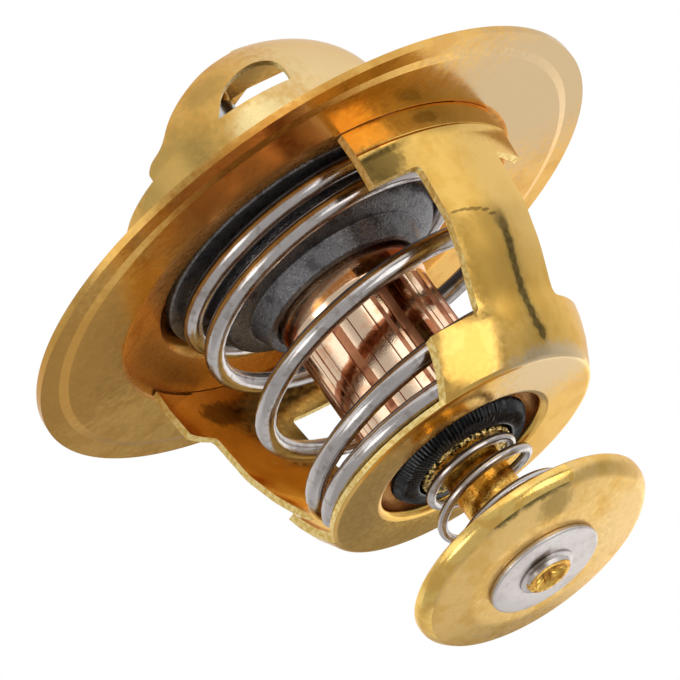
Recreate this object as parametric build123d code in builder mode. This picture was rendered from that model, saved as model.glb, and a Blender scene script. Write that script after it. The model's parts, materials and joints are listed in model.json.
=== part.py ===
from build123d import *

import math
import os

# Engine coolant thermostat with a main valve and a spring loaded bypass valve, in millimetres.
# The axis is Z and +Z runs toward the bypass valve. The origin is the centre of the flange's
# clamped rim face. The piston stands still against the dome, and the wax element slides on it.

# ---- flange and dome: one drawn brass sheet --------------------------------------------------
flange_radius = 32.0
flange_sheet = 0.8
rim_band_width = 2.1            # flat clamped band at the edge
rim_ramp_width = 0.9
rim_step = 0.25                 # the middle of the flange stands proud of the band by this
throat_radius = 22.7            # where the flat turns down into the throat
lip_radius = 17.5               # narrow edge of the throat, above the valve
lip_depth = 1.3
throat_blend = 3.0
collar_radius = 15.5            # outside of the straight collar
collar_start_depth = 5.2
spring_line_depth = 11.0        # where the collar ends and the dome begins
dome_rise = 10.9
crown_cut = 1.9                 # the dome's tip that is pressed flat, where the piston stands

# Leaf shaped window between two straps of the dome: its edge above the collar, from the left
arch_window_angle = 35.0
arch_window_edge = [
    (4.12, 0), (2.4, -2.2), (0.65, -3.2), (-1.2, -3.7), (-2.7, -3.6), (-3.9, -2.8), (-4.3, -1.4), (-4.19, 0),
]

# The two wide windows: their edges in plan, first on the near strap, then round the crown
wide_window_edge = [
    (1.4, 15.4), (4.1, 14.7), (5.6, 13.6), (7.4, 11.4), (8.6, 9.1), (9.8, 6.0), (10.3, 3.2),
]
crown_bridge_half_width = 2.8
wide_window_end_angle = 212.0
far_window_angles = (-120.0, -60.0)

# ---- frame: one drawn brass strip on two legs ------------------------------------------------
frame_sheet = 0.75
frame_foot_radius = 22.4
leg_half_width = 5.4
foot_half_width = 10.4
foot_height = 6.0               # height of the wide feet above the flange
shoulder_drop = 5.7             # the legs widen again this far below the plate's face
frame_height = 26.4             # outer face of the plate
plate_radius = 15.0
plate_hole_radius = 9.1
plate_lip_depth = 2.0
frame_corner_blend = 1.4
window_corner_blend = 0.7
tab_half_width = 3.9            # tab that passes through the flange and is clinched there
tab_slot_clearance = 0.1
# Outside of the leg from the flange to the plate: share of the frame's height, and radius
leg_outline = [
    (0.117, 22.35), (0.231, 22.0), (0.379, 21.5), (0.462, 21.1), (0.598, 19.85), (0.795, 17.4), (0.924, 16.2),
]

# ---- main valve ------------------------------------------------------------------------------
valve_radius = 16.2
valve_face = -1.6               # seat of the main spring
valve_edge_thickness = 0.9
hub_shoulder_radius = 12.6
hub_shoulder_height = 1.6
hub_ring_radius = 10.1
hub_ring_height = 3.35
hub_collar_radius = 9.05
hub_collar_height = 5.5
hub_depth = 4.6
seal_inner_radius = 12.4
seal_lip_thickness = 0.7
seal_gap = 0.3
seal_slope_width = 1.0
seal_slope_height = 1.3

# ---- wax element -----------------------------------------------------------------------------
capsule_radius = 7.6
capsule_wall = 0.6
capsule_bulge = 0.3
capsule_open = 1.0              # open end, inside the valve's hub
capsule_bulge_start = 5.3
capsule_bulge_end = 8.4
capsule_end = 25.2
flat_count = 24                 # pressed flats round the capsule
flat_start = 8.8
capsule_clearance = 0.05
piston_radius = 2.0
piston_clearance = 0.05
boot_radius = 3.3
boot_bore_clearance = 0.3
boot_flange_thickness = 1.1
boot_end_wall = 1.6
boot_depth = 22.6
washer_thickness = 0.6
guide_nose_radius = 4.6
guide_nose_length = 7.6
guide_flange_thickness = 1.8
seal_groove_radius = 3.5
seal_groove_depth = 1.5
piston_reach = 13.5             # how far the piston tip reaches into the boot, from the flange
piston_tip_chamfer = 0.4

# ---- end ring, spring seat and bypass --------------------------------------------------------
end_ring_radius = 7.75
end_ring_height = 1.7
end_ring_bore = 5.4
seat_ring_radius = 5.1
seat_ring_height = 2.0
stem_radius = 3.15
stem_neck_radius = 2.2
rivet_head_radius = 3.0
rivet_head_height = 0.8
head_height = 40.1              # where the face of the bypass disc crosses the axis
head_tilt = 6.0                 # the disc, its washer and the rivet head lean, in degrees
head_lean_angle = 37.0          # toward this side
disc_radius = 13.1
disc_sheet = 0.8
disc_flat_radius = 8.4          # flat middle, under the washer and over the spring
disc_shoulder_radius = 12.2
disc_shoulder_drop = 0.65
disc_rim_drop = 1.55
disc_rim_height = 2.6
disc_clearance = 0.08           # running fit of the disc on the stem
stop_washer_radius = 6.1
stop_washer_thickness = 0.6

# ---- springs ---------------------------------------------------------------------------------
main_wire = 1.9
main_radius_start = 14.6
main_radius_end = 13.7
main_dead_turns = (1.05, 0.75)
main_turns = 4.45
main_start_angle = -5.0
main_lean_slope = 0.06          # the middle coils lean toward the plate on one side
main_lean_angle = 35.0
main_lean_turns = (0.35, 0.8)   # over which the lean comes and goes
bypass_wire = 1.0
bypass_radius_start = 4.6
bypass_radius_end = 7.6
bypass_dead_turns = (0.65, 0.5)
bypass_turns = 3.8
bypass_start_angle = -60.0
bypass_lean_turns = (1.0, 1.5)  # from no lean to the lean of the disc
ramp_turns = 0.3                # over which a spring's pitch changes
coil_touch = 1.03               # pitch of a closed end, in wire diameters
points_per_turn = 12

# ---- sizes that follow -----------------------------------------------------------------------
flange_face = rim_step
crown_depth = spring_line_depth + dome_rise - crown_cut
shoulder_height = frame_height - shoulder_drop
plate_inner = frame_height - frame_sheet
collar_inner = collar_radius - flange_sheet
crown_inner = -crown_depth + flange_sheet
capsule_bore = capsule_radius - capsule_wall
guide_bottom = capsule_open
boot_top = capsule_open + guide_flange_thickness + washer_thickness
disc_bore = stem_radius + disc_clearance
ring_face = capsule_end + end_ring_height
seat_face = capsule_end + seat_ring_height
head_slope = math.tan(math.radians(head_tilt))
# The last coil touches the sloping underside of the disc, so its height allows for the slope
spring_rest = head_height + bypass_wire / 2 - (disc_sheet + bypass_wire / 2) / math.cos(math.radians(head_tilt))


def ring(outer, inner, bottom, top):
    """Plain ring between two heights."""
    with BuildPart() as made:
        with BuildSketch(Plane.XY.offset(bottom)):
            Circle(outer)
            if inner > 0:
                Circle(inner, mode=Mode.SUBTRACT)
        extrude(amount=top - bottom)
    return made.part


def polar(radius, angle):
    """Point of the plan at a radius and an angle in degrees."""
    return (radius * math.cos(math.radians(angle)), radius * math.sin(math.radians(angle)))


def coil_points(bottom, top, radii, turns, dead_turns, wire, start_angle):
    """Centre line of a compression spring with closed ends that rest on bottom and top."""
    steps = round(turns * points_per_turn)
    first, last = bottom + wire / 2, top - wire / 2

    def open_share(turn):
        rise = (turn - dead_turns[0]) / ramp_turns
        fall = (turns - dead_turns[1] - turn) / ramp_turns
        return max(0.0, min(1.0, rise, fall))

    shares = [open_share((step + 0.5) * turns / steps) for step in range(steps)]
    closed = coil_touch * wire * turns / steps
    spare = (last - first - closed * steps) / sum(shares)
    height = first
    points = []
    for step in range(steps + 1):
        share = step / steps
        radius = radii[0] + (radii[1] - radii[0]) * share
        x, y = polar(radius, start_angle + 360 * turns * share)
        points.append((x, y, height))
        if step < steps:
            height += closed + spare * shares[step]
    return points


def leaning(points, slope, angle, ease):
    """Move a spring's points along the axis so that it leans, by a share that ease gives."""
    toward_x, toward_y = polar(1, angle)
    leaned = []
    for step, (x, y, height) in enumerate(points):
        rise = slope * (x * toward_x + y * toward_y)
        leaned.append((x, y, height + rise * ease(step / (len(points) - 1))))
    return leaned


def coil(points, wire):
    """Round wire swept along the centre line of a spring."""
    with BuildPart() as made:
        with BuildLine() as centre:
            Spline(*points)
        with BuildSketch(Plane(centre.line @ 0, z_dir=centre.line % 0)):
            Circle(wire / 2)
        sweep(path=centre.line, is_frenet=False)
    return made.part


os.makedirs("parts", exist_ok=True)

# ---- flange and dome -------------------------------------------------------------------------
rim_inner = flange_radius - rim_band_width
crown_drop = crown_depth - spring_line_depth
outer_crown_radius = collar_radius * math.sqrt(1 - (crown_drop / dome_rise) ** 2)
inner_rise = dome_rise - flange_sheet
inner_crown_radius = collar_inner * math.sqrt(1 - ((crown_drop - flange_sheet) / inner_rise) ** 2)
outer_crown_angle = math.degrees(math.asin(crown_drop / dome_rise))
inner_crown_angle = math.degrees(math.asin((crown_drop - flange_sheet) / inner_rise))

with BuildPart() as flange_dome:
    with BuildSketch(Plane.XZ):
        with BuildLine():
            Polyline(
                (flange_radius, 0),
                (rim_inner, 0),
                (rim_inner - rim_ramp_width, rim_step),
                (throat_radius, rim_step),
                (lip_radius, -lip_depth),
                (collar_inner, -collar_start_depth),
                (collar_inner, -spring_line_depth),
            )
            EllipticalCenterArc(
                (0, -spring_line_depth), collar_inner, inner_rise, start_angle=0, arc_size=-inner_crown_angle
            )
            Polyline(
                (inner_crown_radius, crown_inner), (0, crown_inner), (0, -crown_depth), (outer_crown_radius, -crown_depth)
            )
            EllipticalCenterArc(
                (0, -spring_line_depth), collar_radius, dome_rise, start_angle=0, arc_size=-outer_crown_angle
            )
            Polyline(
                (collar_radius, -spring_line_depth),
                (collar_radius, -collar_start_depth - flange_sheet / 3),
                (lip_radius + flange_sheet / 2, -lip_depth - flange_sheet),
                (throat_radius, rim_step - flange_sheet),
                (rim_inner - rim_ramp_width, rim_step - flange_sheet),
                (rim_inner, -flange_sheet),
                (flange_radius, -flange_sheet),
                (flange_radius, 0),
            )
        make_face()
    revolve(axis=Axis.Z)
    # Leaf shaped window between the near strap and the broad side of the dome
    arch_plane = Plane(
        origin=(0, 0, -spring_line_depth),
        x_dir=(-math.sin(math.radians(arch_window_angle)), math.cos(math.radians(arch_window_angle)), 0),
        z_dir=polar(1, arch_window_angle) + (0,),
    )
    with BuildSketch(arch_plane):
        with BuildLine():
            leaf_edge = Spline(*arch_window_edge)
            Line(leaf_edge @ 1, leaf_edge @ 0)
        make_face()
    extrude(amount=collar_radius * 1.2, mode=Mode.SUBTRACT)
    # Wide window beside the near strap, cut straight down to the collar
    clear = collar_radius * 1.3
    with BuildSketch(Plane.XY.offset(-spring_line_depth)):
        with BuildLine():
            strap_edge = Spline(*wide_window_edge)
            Polyline(
                strap_edge @ 1,
                (crown_bridge_half_width, crown_bridge_half_width * 0.3),
                (0, crown_bridge_half_width * 0.9),
                polar(clear, wide_window_end_angle),
                (-clear, clear),
                (wide_window_edge[0][0] - 0.6, clear),
                strap_edge @ 0,
            )
        make_face()
    extrude(amount=-dome_rise, mode=Mode.SUBTRACT)
    # Window on the far side, between the far strap and the broad side
    with BuildSketch(Plane.XY.offset(-spring_line_depth)):
        with BuildLine():
            Polyline(
                (crown_bridge_half_width, -crown_bridge_half_width),
                polar(clear, far_window_angles[1]),
                (-clear * 0.2, -clear * 1.2),
                polar(clear, far_window_angles[0]),
                (-crown_bridge_half_width, -crown_bridge_half_width * 0.9),
                (crown_bridge_half_width, -crown_bridge_half_width),
            )
        make_face()
    extrude(amount=-dome_rise, mode=Mode.SUBTRACT)
    # Slots for the frame's tabs
    slot_outer = frame_foot_radius + tab_slot_clearance
    slot_inner = frame_foot_radius - frame_sheet - tab_slot_clearance
    with BuildSketch(Plane.XY.offset(flange_face)):
        Circle(slot_outer)
        Circle(slot_inner, mode=Mode.SUBTRACT)
        Rectangle(2 * flange_radius, 2 * (tab_half_width + tab_slot_clearance), mode=Mode.INTERSECT)
    extrude(amount=-4 * flange_sheet, mode=Mode.SUBTRACT)
flange_dome.part.label = "flange_dome"
export_step(flange_dome.part, "parts/flange_dome.step")

# ---- frame -----------------------------------------------------------------------------------
with BuildPart() as frame:
    with BuildSketch(Plane.XZ) as frame_profile:
        with BuildLine():
            outside = [(radius, share * frame_height) for share, radius in leg_outline]
            inside = [(radius - frame_sheet, share * frame_height) for share, radius in leg_outline]
            Line((frame_foot_radius, flange_face), outside[0])
            Spline(*outside)
            Polyline(outside[-1], (plate_radius, frame_height), (0, frame_height))
            Polyline((0, frame_height), (0, plate_inner), (plate_radius - frame_sheet / 3, plate_inner))
            Line((plate_radius - frame_sheet / 3, plate_inner), inside[-1])
            Spline(*inside)
            Polyline(inside[0], (frame_foot_radius - frame_sheet, flange_face), (frame_foot_radius, flange_face))
        make_face()
    revolve(axis=Axis.Z)
    # Everything outside the wide feet goes, up to the plate
    with BuildSketch(Plane.XY.offset(flange_face)):
        Rectangle(4 * flange_radius, 4 * flange_radius)
        Rectangle(4 * flange_radius, 2 * foot_half_width, mode=Mode.SUBTRACT)
    extrude(amount=plate_inner - flange_face, mode=Mode.SUBTRACT)
    # Beside the feet the plate keeps its plain round edge
    with BuildSketch(Plane.XY.offset(plate_inner)):
        Rectangle(4 * flange_radius, 4 * flange_radius)
        Rectangle(4 * flange_radius, 2 * foot_half_width, mode=Mode.SUBTRACT)
        Circle(plate_radius, mode=Mode.SUBTRACT)
    extrude(amount=frame_sheet, mode=Mode.SUBTRACT)
    # The legs are narrower than the feet and the shoulders
    leg_height = shoulder_height - foot_height - flange_face
    with BuildSketch(Plane.YZ) as leg_windows:
        for side in (-1, 1):
            with Locations((side * (leg_half_width + flange_radius), (shoulder_height + foot_height + flange_face) / 2)):
                Rectangle(2 * flange_radius, leg_height)
        inner_corners = leg_windows.vertices().filter_by(lambda corner: abs(corner.Y) < leg_half_width + 1)
        fillet(inner_corners, window_corner_blend)
    extrude(amount=2 * flange_radius, both=True, mode=Mode.SUBTRACT)
    # Hole with a drawn-in lip
    with BuildSketch(Plane.XZ):
        with BuildLine():
            Polyline(
                (plate_hole_radius, frame_height),
                (plate_hole_radius + frame_sheet, frame_height),
                (plate_hole_radius + frame_sheet, plate_inner - plate_lip_depth),
                (plate_hole_radius, plate_inner - plate_lip_depth),
                (plate_hole_radius, frame_height),
            )
        make_face()
    revolve(axis=Axis.Z)
    with BuildSketch(Plane.XY.offset(plate_inner - 2 * plate_lip_depth)):
        Circle(plate_hole_radius)
    extrude(amount=frame_height, mode=Mode.SUBTRACT)
    lip_edges = frame.edges().filter_by(GeomType.CIRCLE).filter_by(
        lambda edge: abs(edge.radius - plate_hole_radius) < 0.01 and edge.center().Z > plate_inner
    )
    fillet(lip_edges, frame_sheet * 0.6)
    # Tabs through the flange
    with BuildSketch(Plane.XY.offset(flange_face)):
        Circle(frame_foot_radius)
        Circle(frame_foot_radius - frame_sheet, mode=Mode.SUBTRACT)
        Rectangle(4 * flange_radius, 2 * tab_half_width, mode=Mode.INTERSECT)
    extrude(amount=-(flange_sheet + 0.6))
frame.part.label = "frame"
export_step(frame.part, "parts/frame.step")

# ---- piston ----------------------------------------------------------------------------------
with BuildPart() as piston:
    with BuildSketch(Plane.XY.offset(crown_inner)):
        Circle(piston_radius)
    extrude(amount=piston_reach - crown_inner)
    chamfer(piston.edges().filter_by(GeomType.CIRCLE), piston_tip_chamfer)
piston.part.label = "piston"
export_step(piston.part, "parts/piston.step")

# ---- main valve and its moulded seal ---------------------------------------------------------
hub_bore = capsule_radius + capsule_clearance
nose_bore = guide_nose_radius + capsule_clearance
with BuildPart() as main_valve:
    with BuildSketch(Plane.XZ) as valve_profile:
        with BuildLine():
            Polyline(
                (hub_bore, capsule_open),
                (hub_bore, hub_collar_height - 0.5),
                (hub_bore + 0.5, hub_collar_height),
                (hub_collar_radius, hub_collar_height),
                (hub_ring_radius - 0.25, hub_ring_height),
                (hub_ring_radius, hub_ring_height),
                (hub_shoulder_radius - 0.5, hub_ring_height - 0.5),
                (hub_shoulder_radius, hub_shoulder_height),
                (hub_shoulder_radius, valve_face),
                (valve_radius, valve_face),
                (valve_radius, valve_face - valve_edge_thickness),
                (seal_inner_radius, valve_face - valve_edge_thickness),
                (seal_inner_radius - 1.4, -hub_depth),
                (nose_bore, -hub_depth),
                (nose_bore, capsule_open),
                (hub_bore, capsule_open),
            )
        make_face()
    revolve(axis=Axis.Z)
    shoulder_edges = main_valve.edges().filter_by(GeomType.CIRCLE).filter_by(
        lambda edge: edge.radius > hub_shoulder_radius - 0.6 and edge.radius < hub_shoulder_radius + 0.1
        and edge.center().Z > hub_shoulder_height - 0.1
    )
    fillet(shoulder_edges, 0.9)
main_valve.part.label = "main_valve"
export_step(main_valve.part, "parts/main_valve.step")

seal_top = valve_face - valve_edge_thickness
with BuildPart() as valve_seal:
    with BuildSketch(Plane.XZ):
        with BuildLine():
            Polyline(
                (seal_inner_radius, seal_top),
                (valve_radius, seal_top),
                (valve_radius - seal_slope_width, seal_top - seal_slope_height),
                (seal_inner_radius + 1.2, -collar_start_depth + seal_gap + seal_lip_thickness),
                (seal_inner_radius - 0.3, -hub_depth + 0.5),
                (seal_inner_radius, seal_top),
            )
        make_face()
    revolve(axis=Axis.Z)
valve_seal.part.label = "valve_seal"
export_step(valve_seal.part, "parts/valve_seal.step")

# ---- capsule ---------------------------------------------------------------------------------
with BuildPart() as capsule:
    with BuildSketch(Plane.XZ) as capsule_profile:
        with BuildLine():
            Polyline(
                (capsule_radius, capsule_bulge_start),
                (capsule_radius, capsule_open),
                (capsule_bore, capsule_open),
                (capsule_bore, capsule_end - capsule_wall),
                (0, capsule_end - capsule_wall),
                (0, capsule_end),
                (capsule_radius, capsule_end),
                (capsule_radius, capsule_bulge_end),
            )
            ThreePointArc(
                (capsule_radius, capsule_bulge_end),
                (capsule_radius + capsule_bulge, (capsule_bulge_start + capsule_bulge_end) / 2),
                (capsule_radius, capsule_bulge_start),
            )
        make_face()
    revolve(axis=Axis.Z)
    with BuildSketch(Plane.XY.offset(capsule_end)):
        Circle(capsule_radius * 1.2)
        RegularPolygon(radius=capsule_radius, side_count=flat_count, mode=Mode.SUBTRACT)
    extrude(amount=-(capsule_end - flat_start), mode=Mode.SUBTRACT)
capsule.part.label = "capsule"
export_step(capsule.part, "parts/capsule.step")

# ---- wax, boot, backup washer, guide and guide seal ------------------------------------------
boot_bore = piston_radius + boot_bore_clearance
with BuildPart() as wax_charge:
    wax_top = boot_top + boot_flange_thickness
    with BuildSketch(Plane.XY.offset(wax_top)):
        Circle(capsule_bore)
    extrude(amount=capsule_end - capsule_wall - wax_top)
    with BuildSketch(Plane.XY.offset(wax_top)):
        Circle(boot_radius)
    extrude(amount=boot_depth - wax_top, mode=Mode.SUBTRACT)
wax_charge.part.label = "wax_charge"
export_step(wax_charge.part, "parts/wax_charge.step")

with BuildPart() as rubber_boot:
    with BuildSketch(Plane.XY.offset(boot_top)):
        Circle(capsule_bore)
    extrude(amount=boot_flange_thickness)
    with BuildSketch(Plane.XY.offset(boot_top)):
        Circle(boot_radius)
    extrude(amount=boot_depth - boot_top)
    with BuildSketch(Plane.XY.offset(boot_top)):
        Circle(boot_bore)
    extrude(amount=boot_depth - boot_end_wall - boot_top, mode=Mode.SUBTRACT)
rubber_boot.part.label = "rubber_boot"
export_step(rubber_boot.part, "parts/rubber_boot.step")

backup_washer_part = ring(capsule_bore, boot_bore, boot_top - washer_thickness, boot_top)
backup_washer_part.label = "backup_washer"
export_step(backup_washer_part, "parts/backup_washer.step")

guide_end = guide_bottom - guide_nose_length
guide_top = guide_bottom + guide_flange_thickness
with BuildPart() as piston_guide:
    with BuildSketch(Plane.XY.offset(guide_bottom)):
        Circle(capsule_bore)
    extrude(amount=guide_flange_thickness)
    with BuildSketch(Plane.XY.offset(guide_end)):
        Circle(guide_nose_radius)
    extrude(amount=guide_top - guide_end)
    with BuildSketch(Plane.XY.offset(guide_end)):
        Circle(piston_radius + piston_clearance)
    extrude(amount=guide_top - guide_end, mode=Mode.SUBTRACT)
    with BuildSketch(Plane.XY.offset(guide_end)):
        Circle(seal_groove_radius)
    extrude(amount=seal_groove_depth, mode=Mode.SUBTRACT)
piston_guide.part.label = "piston_guide"
export_step(piston_guide.part, "parts/piston_guide.step")

guide_seal_part = ring(seal_groove_radius, piston_radius + piston_clearance, guide_end, guide_end + seal_groove_depth)
guide_seal_part.label = "guide_seal"
export_step(guide_seal_part, "parts/guide_seal.step")

# ---- end ring and spring seat ----------------------------------------------------------------
with BuildPart() as end_ring:
    with BuildSketch(Plane.XZ):
        with BuildLine():
            Polyline(
                (end_ring_bore, ring_face),
                (end_ring_bore, capsule_end),
                (end_ring_radius, capsule_end),
                (end_ring_radius, capsule_end + 0.3),
            )
            ThreePointArc(
                (end_ring_radius, capsule_end + 0.3),
                (end_ring_radius - 0.55, ring_face - 0.3),
                (end_ring_bore, ring_face),
            )
        make_face()
    revolve(axis=Axis.Z)
end_ring.part.label = "end_ring"
export_step(end_ring.part, "parts/end_ring.step")

spring_seat_part = ring(seat_ring_radius, stem_radius + capsule_clearance, capsule_end, seat_face)
spring_seat_part.label = "spring_seat"
export_step(spring_seat_part, "parts/spring_seat.step")

# ---- stem with its riveted head, which leans with the disc ------------------------------------
across_x, across_y = polar(1, head_lean_angle + 90)
head_x, head_y = polar(math.sin(math.radians(head_tilt)), head_lean_angle)
head_normal = Vector(head_x, head_y, math.cos(math.radians(head_tilt)))
head_centre = (0, 0, head_height)
head_plane = Plane(origin=head_centre, x_dir=(across_x, across_y, 0), z_dir=head_normal)
with BuildPart() as bypass_stem:
    with BuildSketch(Plane.XY.offset(capsule_end)):
        Circle(stem_radius)
    extrude(amount=head_height + stem_radius - capsule_end)
    split(bisect_by=head_plane, keep=Keep.BOTTOM)
    with BuildSketch(head_plane):
        Circle(stem_neck_radius)
    extrude(amount=stop_washer_thickness)
    with BuildSketch(head_plane.offset(stop_washer_thickness)):
        Circle(rivet_head_radius)
    extrude(amount=rivet_head_height)
    fillet(bypass_stem.edges().filter_by(GeomType.CIRCLE).sort_by(Axis.Z)[-1], rivet_head_height * 0.3)
bypass_stem.part.label = "bypass_stem"
export_step(bypass_stem.part, "parts/bypass_stem.step")

# ---- bypass disc and stop washer -------------------------------------------------------------
with BuildPart() as bypass_disc:
    # The profile stands in a plane that holds the leaning axis of the disc
    profile_normal = Vector(across_x, across_y, 0).cross(head_normal)
    with BuildSketch(Plane(origin=head_centre, x_dir=(across_x, across_y, 0), z_dir=profile_normal)):
        with BuildLine():
            Polyline((0, -disc_sheet), (0, 0), (disc_flat_radius, 0), (disc_shoulder_radius, -disc_shoulder_drop))
            RadiusArc(
                (disc_shoulder_radius, -disc_shoulder_drop), (disc_radius, -disc_rim_drop),
                disc_rim_drop - disc_shoulder_drop,
            )
            Polyline(
                (disc_radius, -disc_rim_drop),
                (disc_radius, -disc_rim_height),
                (disc_radius - disc_sheet, -disc_rim_height),
                (disc_radius - disc_sheet, -disc_rim_drop),
                (disc_shoulder_radius - disc_sheet / 2, -disc_shoulder_drop - disc_sheet),
                (disc_flat_radius, -disc_sheet),
                (0, -disc_sheet),
            )
        make_face()
    revolve(axis=Axis(head_centre, head_normal))
    with BuildSketch(Plane.XY.offset(head_height + disc_radius)):
        Circle(disc_bore)
    extrude(amount=-2 * disc_radius, mode=Mode.SUBTRACT)
bypass_disc.part.label = "bypass_disc"
export_step(bypass_disc.part, "parts/bypass_disc.step")

with BuildPart() as stop_washer:
    with BuildSketch(head_plane):
        Circle(stop_washer_radius)
        Circle(stem_neck_radius, mode=Mode.SUBTRACT)
    extrude(amount=stop_washer_thickness)
stop_washer.part.label = "stop_washer"
export_step(stop_washer.part, "parts/stop_washer.step")

# ---- springs ---------------------------------------------------------------------------------
main_points = coil_points(
    valve_face, plate_inner, (main_radius_start, main_radius_end), main_turns,
    main_dead_turns, main_wire, main_start_angle,
)
main_spring_part = coil(
    leaning(
        main_points, main_lean_slope, main_lean_angle,
        lambda share: min(1, share * main_turns / main_lean_turns[0], (1 - share) * main_turns / main_lean_turns[1]),
    ),
    main_wire,
)
main_spring_part.label = "main_spring"
export_step(main_spring_part, "parts/main_spring.step")

bypass_points = coil_points(
    seat_face, spring_rest, (bypass_radius_start, bypass_radius_end), bypass_turns,
    bypass_dead_turns, bypass_wire, bypass_start_angle,
)
bypass_spring_part = coil(
    leaning(
        bypass_points, -head_slope, head_lean_angle,
        lambda share: min(1, max(0, share * bypass_turns - bypass_lean_turns[0]) / bypass_lean_turns[1]),
    ),
    bypass_wire,
)
bypass_spring_part.label = "bypass_spring"
export_step(bypass_spring_part, "parts/bypass_spring.step")
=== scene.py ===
"""Dress the coolant thermostat: turned, drawn and coiled pieces with their metal finishes.

The CAD frame is in metres. The classes below hold their sizes in millimetres, as a maker would
write them, and `Piece.close` scales each finished mesh to metres. The axis is Z, +Z runs toward
the bypass disc, and z = 0 is the rim face of the flange.
"""

import json
import logging
import math
from dataclasses import dataclass
from enum import Enum
from typing import Callable, Optional, Sequence

import bmesh
import bpy
from mathutils import Matrix, Vector, noise

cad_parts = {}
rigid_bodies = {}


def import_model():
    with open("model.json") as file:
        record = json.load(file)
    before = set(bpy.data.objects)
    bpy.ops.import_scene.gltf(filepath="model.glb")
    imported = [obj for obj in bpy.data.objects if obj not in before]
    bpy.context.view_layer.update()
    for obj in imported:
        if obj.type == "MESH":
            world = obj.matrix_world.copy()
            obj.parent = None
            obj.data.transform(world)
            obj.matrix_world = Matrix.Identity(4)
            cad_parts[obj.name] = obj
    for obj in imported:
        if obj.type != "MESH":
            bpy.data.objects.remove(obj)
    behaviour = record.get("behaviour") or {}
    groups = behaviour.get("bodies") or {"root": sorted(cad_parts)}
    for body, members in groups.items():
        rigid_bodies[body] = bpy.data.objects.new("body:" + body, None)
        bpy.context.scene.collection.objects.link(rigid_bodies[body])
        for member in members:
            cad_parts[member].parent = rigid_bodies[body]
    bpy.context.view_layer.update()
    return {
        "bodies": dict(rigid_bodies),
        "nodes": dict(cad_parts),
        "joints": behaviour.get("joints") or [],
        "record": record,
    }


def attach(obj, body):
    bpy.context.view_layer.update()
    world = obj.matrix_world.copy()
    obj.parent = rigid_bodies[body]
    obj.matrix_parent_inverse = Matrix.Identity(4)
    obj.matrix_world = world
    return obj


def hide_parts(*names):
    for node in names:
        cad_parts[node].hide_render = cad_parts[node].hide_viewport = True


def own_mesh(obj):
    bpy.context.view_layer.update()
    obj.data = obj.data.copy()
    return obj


log = logging.getLogger("thermostat")

MM = 0.001
Point2 = tuple[float, float]
Point3 = tuple[float, float, float]
Colour = tuple[float, float, float, float]
Move = Callable[[Vector], Vector]
Chosen = Callable[[Vector], bool]
Material = bpy.types.Material
Tree = bpy.types.NodeTree
Socket = bpy.types.NodeSocket

METAL_FROM = 0.5        # a finish that is more metallic than this reflects as metal
EDGE_TINT = 0.4         # how far a grazing reflection takes up the metal's colour
CLOUD_DETAIL = 6.0      # finer layers of the noise of patches and stains
FINE_DETAIL = 8.0       # finer layers of the noise that varies the roughness
FINE_CELLS = 5.0        # how much smaller than the patches that noise is
GRAIN_DETAIL = 3.0      # finer layers of the grain
NOISE_SPAN = (0.3, 0.7)     # between these lie nearly all values of a noise
TONE_LEVEL = (0.72, -0.4)   # noise value above which tone shows, and its change with the share
TONE_EDGE = (0.07, 0.10)    # width of a patch's border below and above that value
PAINTED_PATCH_LEVEL = 1.5       # where a painted patch of light and shade ends: its reach and the middle of its noise
PAINTED_PATCH_EDGE = (0.6, 0.4) # parts of a painted patch's border inside and outside that
PAINTED_PATCH_RAG = 0.7         # size in millimetres of the ragged border of a painted patch
SCRATCH_CELL = 1.6      # width in millimetres between scratches
SCRATCH_EDGE = 0.012    # share of that width that a scratch takes
SCRATCH_TURN = (0.4, 0.9, 0.3)      # direction of the scratches in radians
SCRATCH_SHAPE = (1.0, 0.22, 0.5)    # how densely they lie along each axis
ROUND_SEGMENTS = 192    # facets round a turned piece
SHEET_SEGMENTS = 256    # facets round a wide smooth sheet
SIDE_SHARE = 0.49       # most of a side that the round of one corner may take
TINY = 1e-6             # lengths in millimetres below this are nothing
MERGE = 1e-4            # points in millimetres closer than this are one
SLIVER = 1e-5           # edges in millimetres shorter than this are taken out
SAME = 1e-9             # points of a profile closer than this lie on each other
MITRE = 0.5             # sharpest corner, as a cosine, that an offset still follows
WHITE = (1, 1, 1, 1)


class Body(Enum):
    """Rigid bodies of the mechanism."""

    HOUSING = "housing"
    ELEMENT = "element"
    BYPASS = "bypass"


# ---- finishes ----------------------------------------------------------------------------------


@dataclass(frozen=True)
class Mark:
    """A small patch of painted light and shade at one place.

    Args:
        place: Where it is, in millimetres.
        reach: Size along each axis, in millimetres.
        colour: Its colour.
        strength: How much of the surface it covers, from 0 to 1.
        soft: Width of its border, as a share of its reach.
    """

    place: Point3
    reach: Point3
    colour: Colour
    strength: float = 1.0
    soft: float = 0.45


def trail(
    places: Sequence[Point3], reach: Point3, colour: Colour, strength: float = 1.0, soft: float = 0.45
) -> tuple[Mark, ...]:
    """Lay equal patches of painted light and shade along a line of places."""
    return tuple(Mark(place, reach, colour, strength, soft) for place in places)


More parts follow.
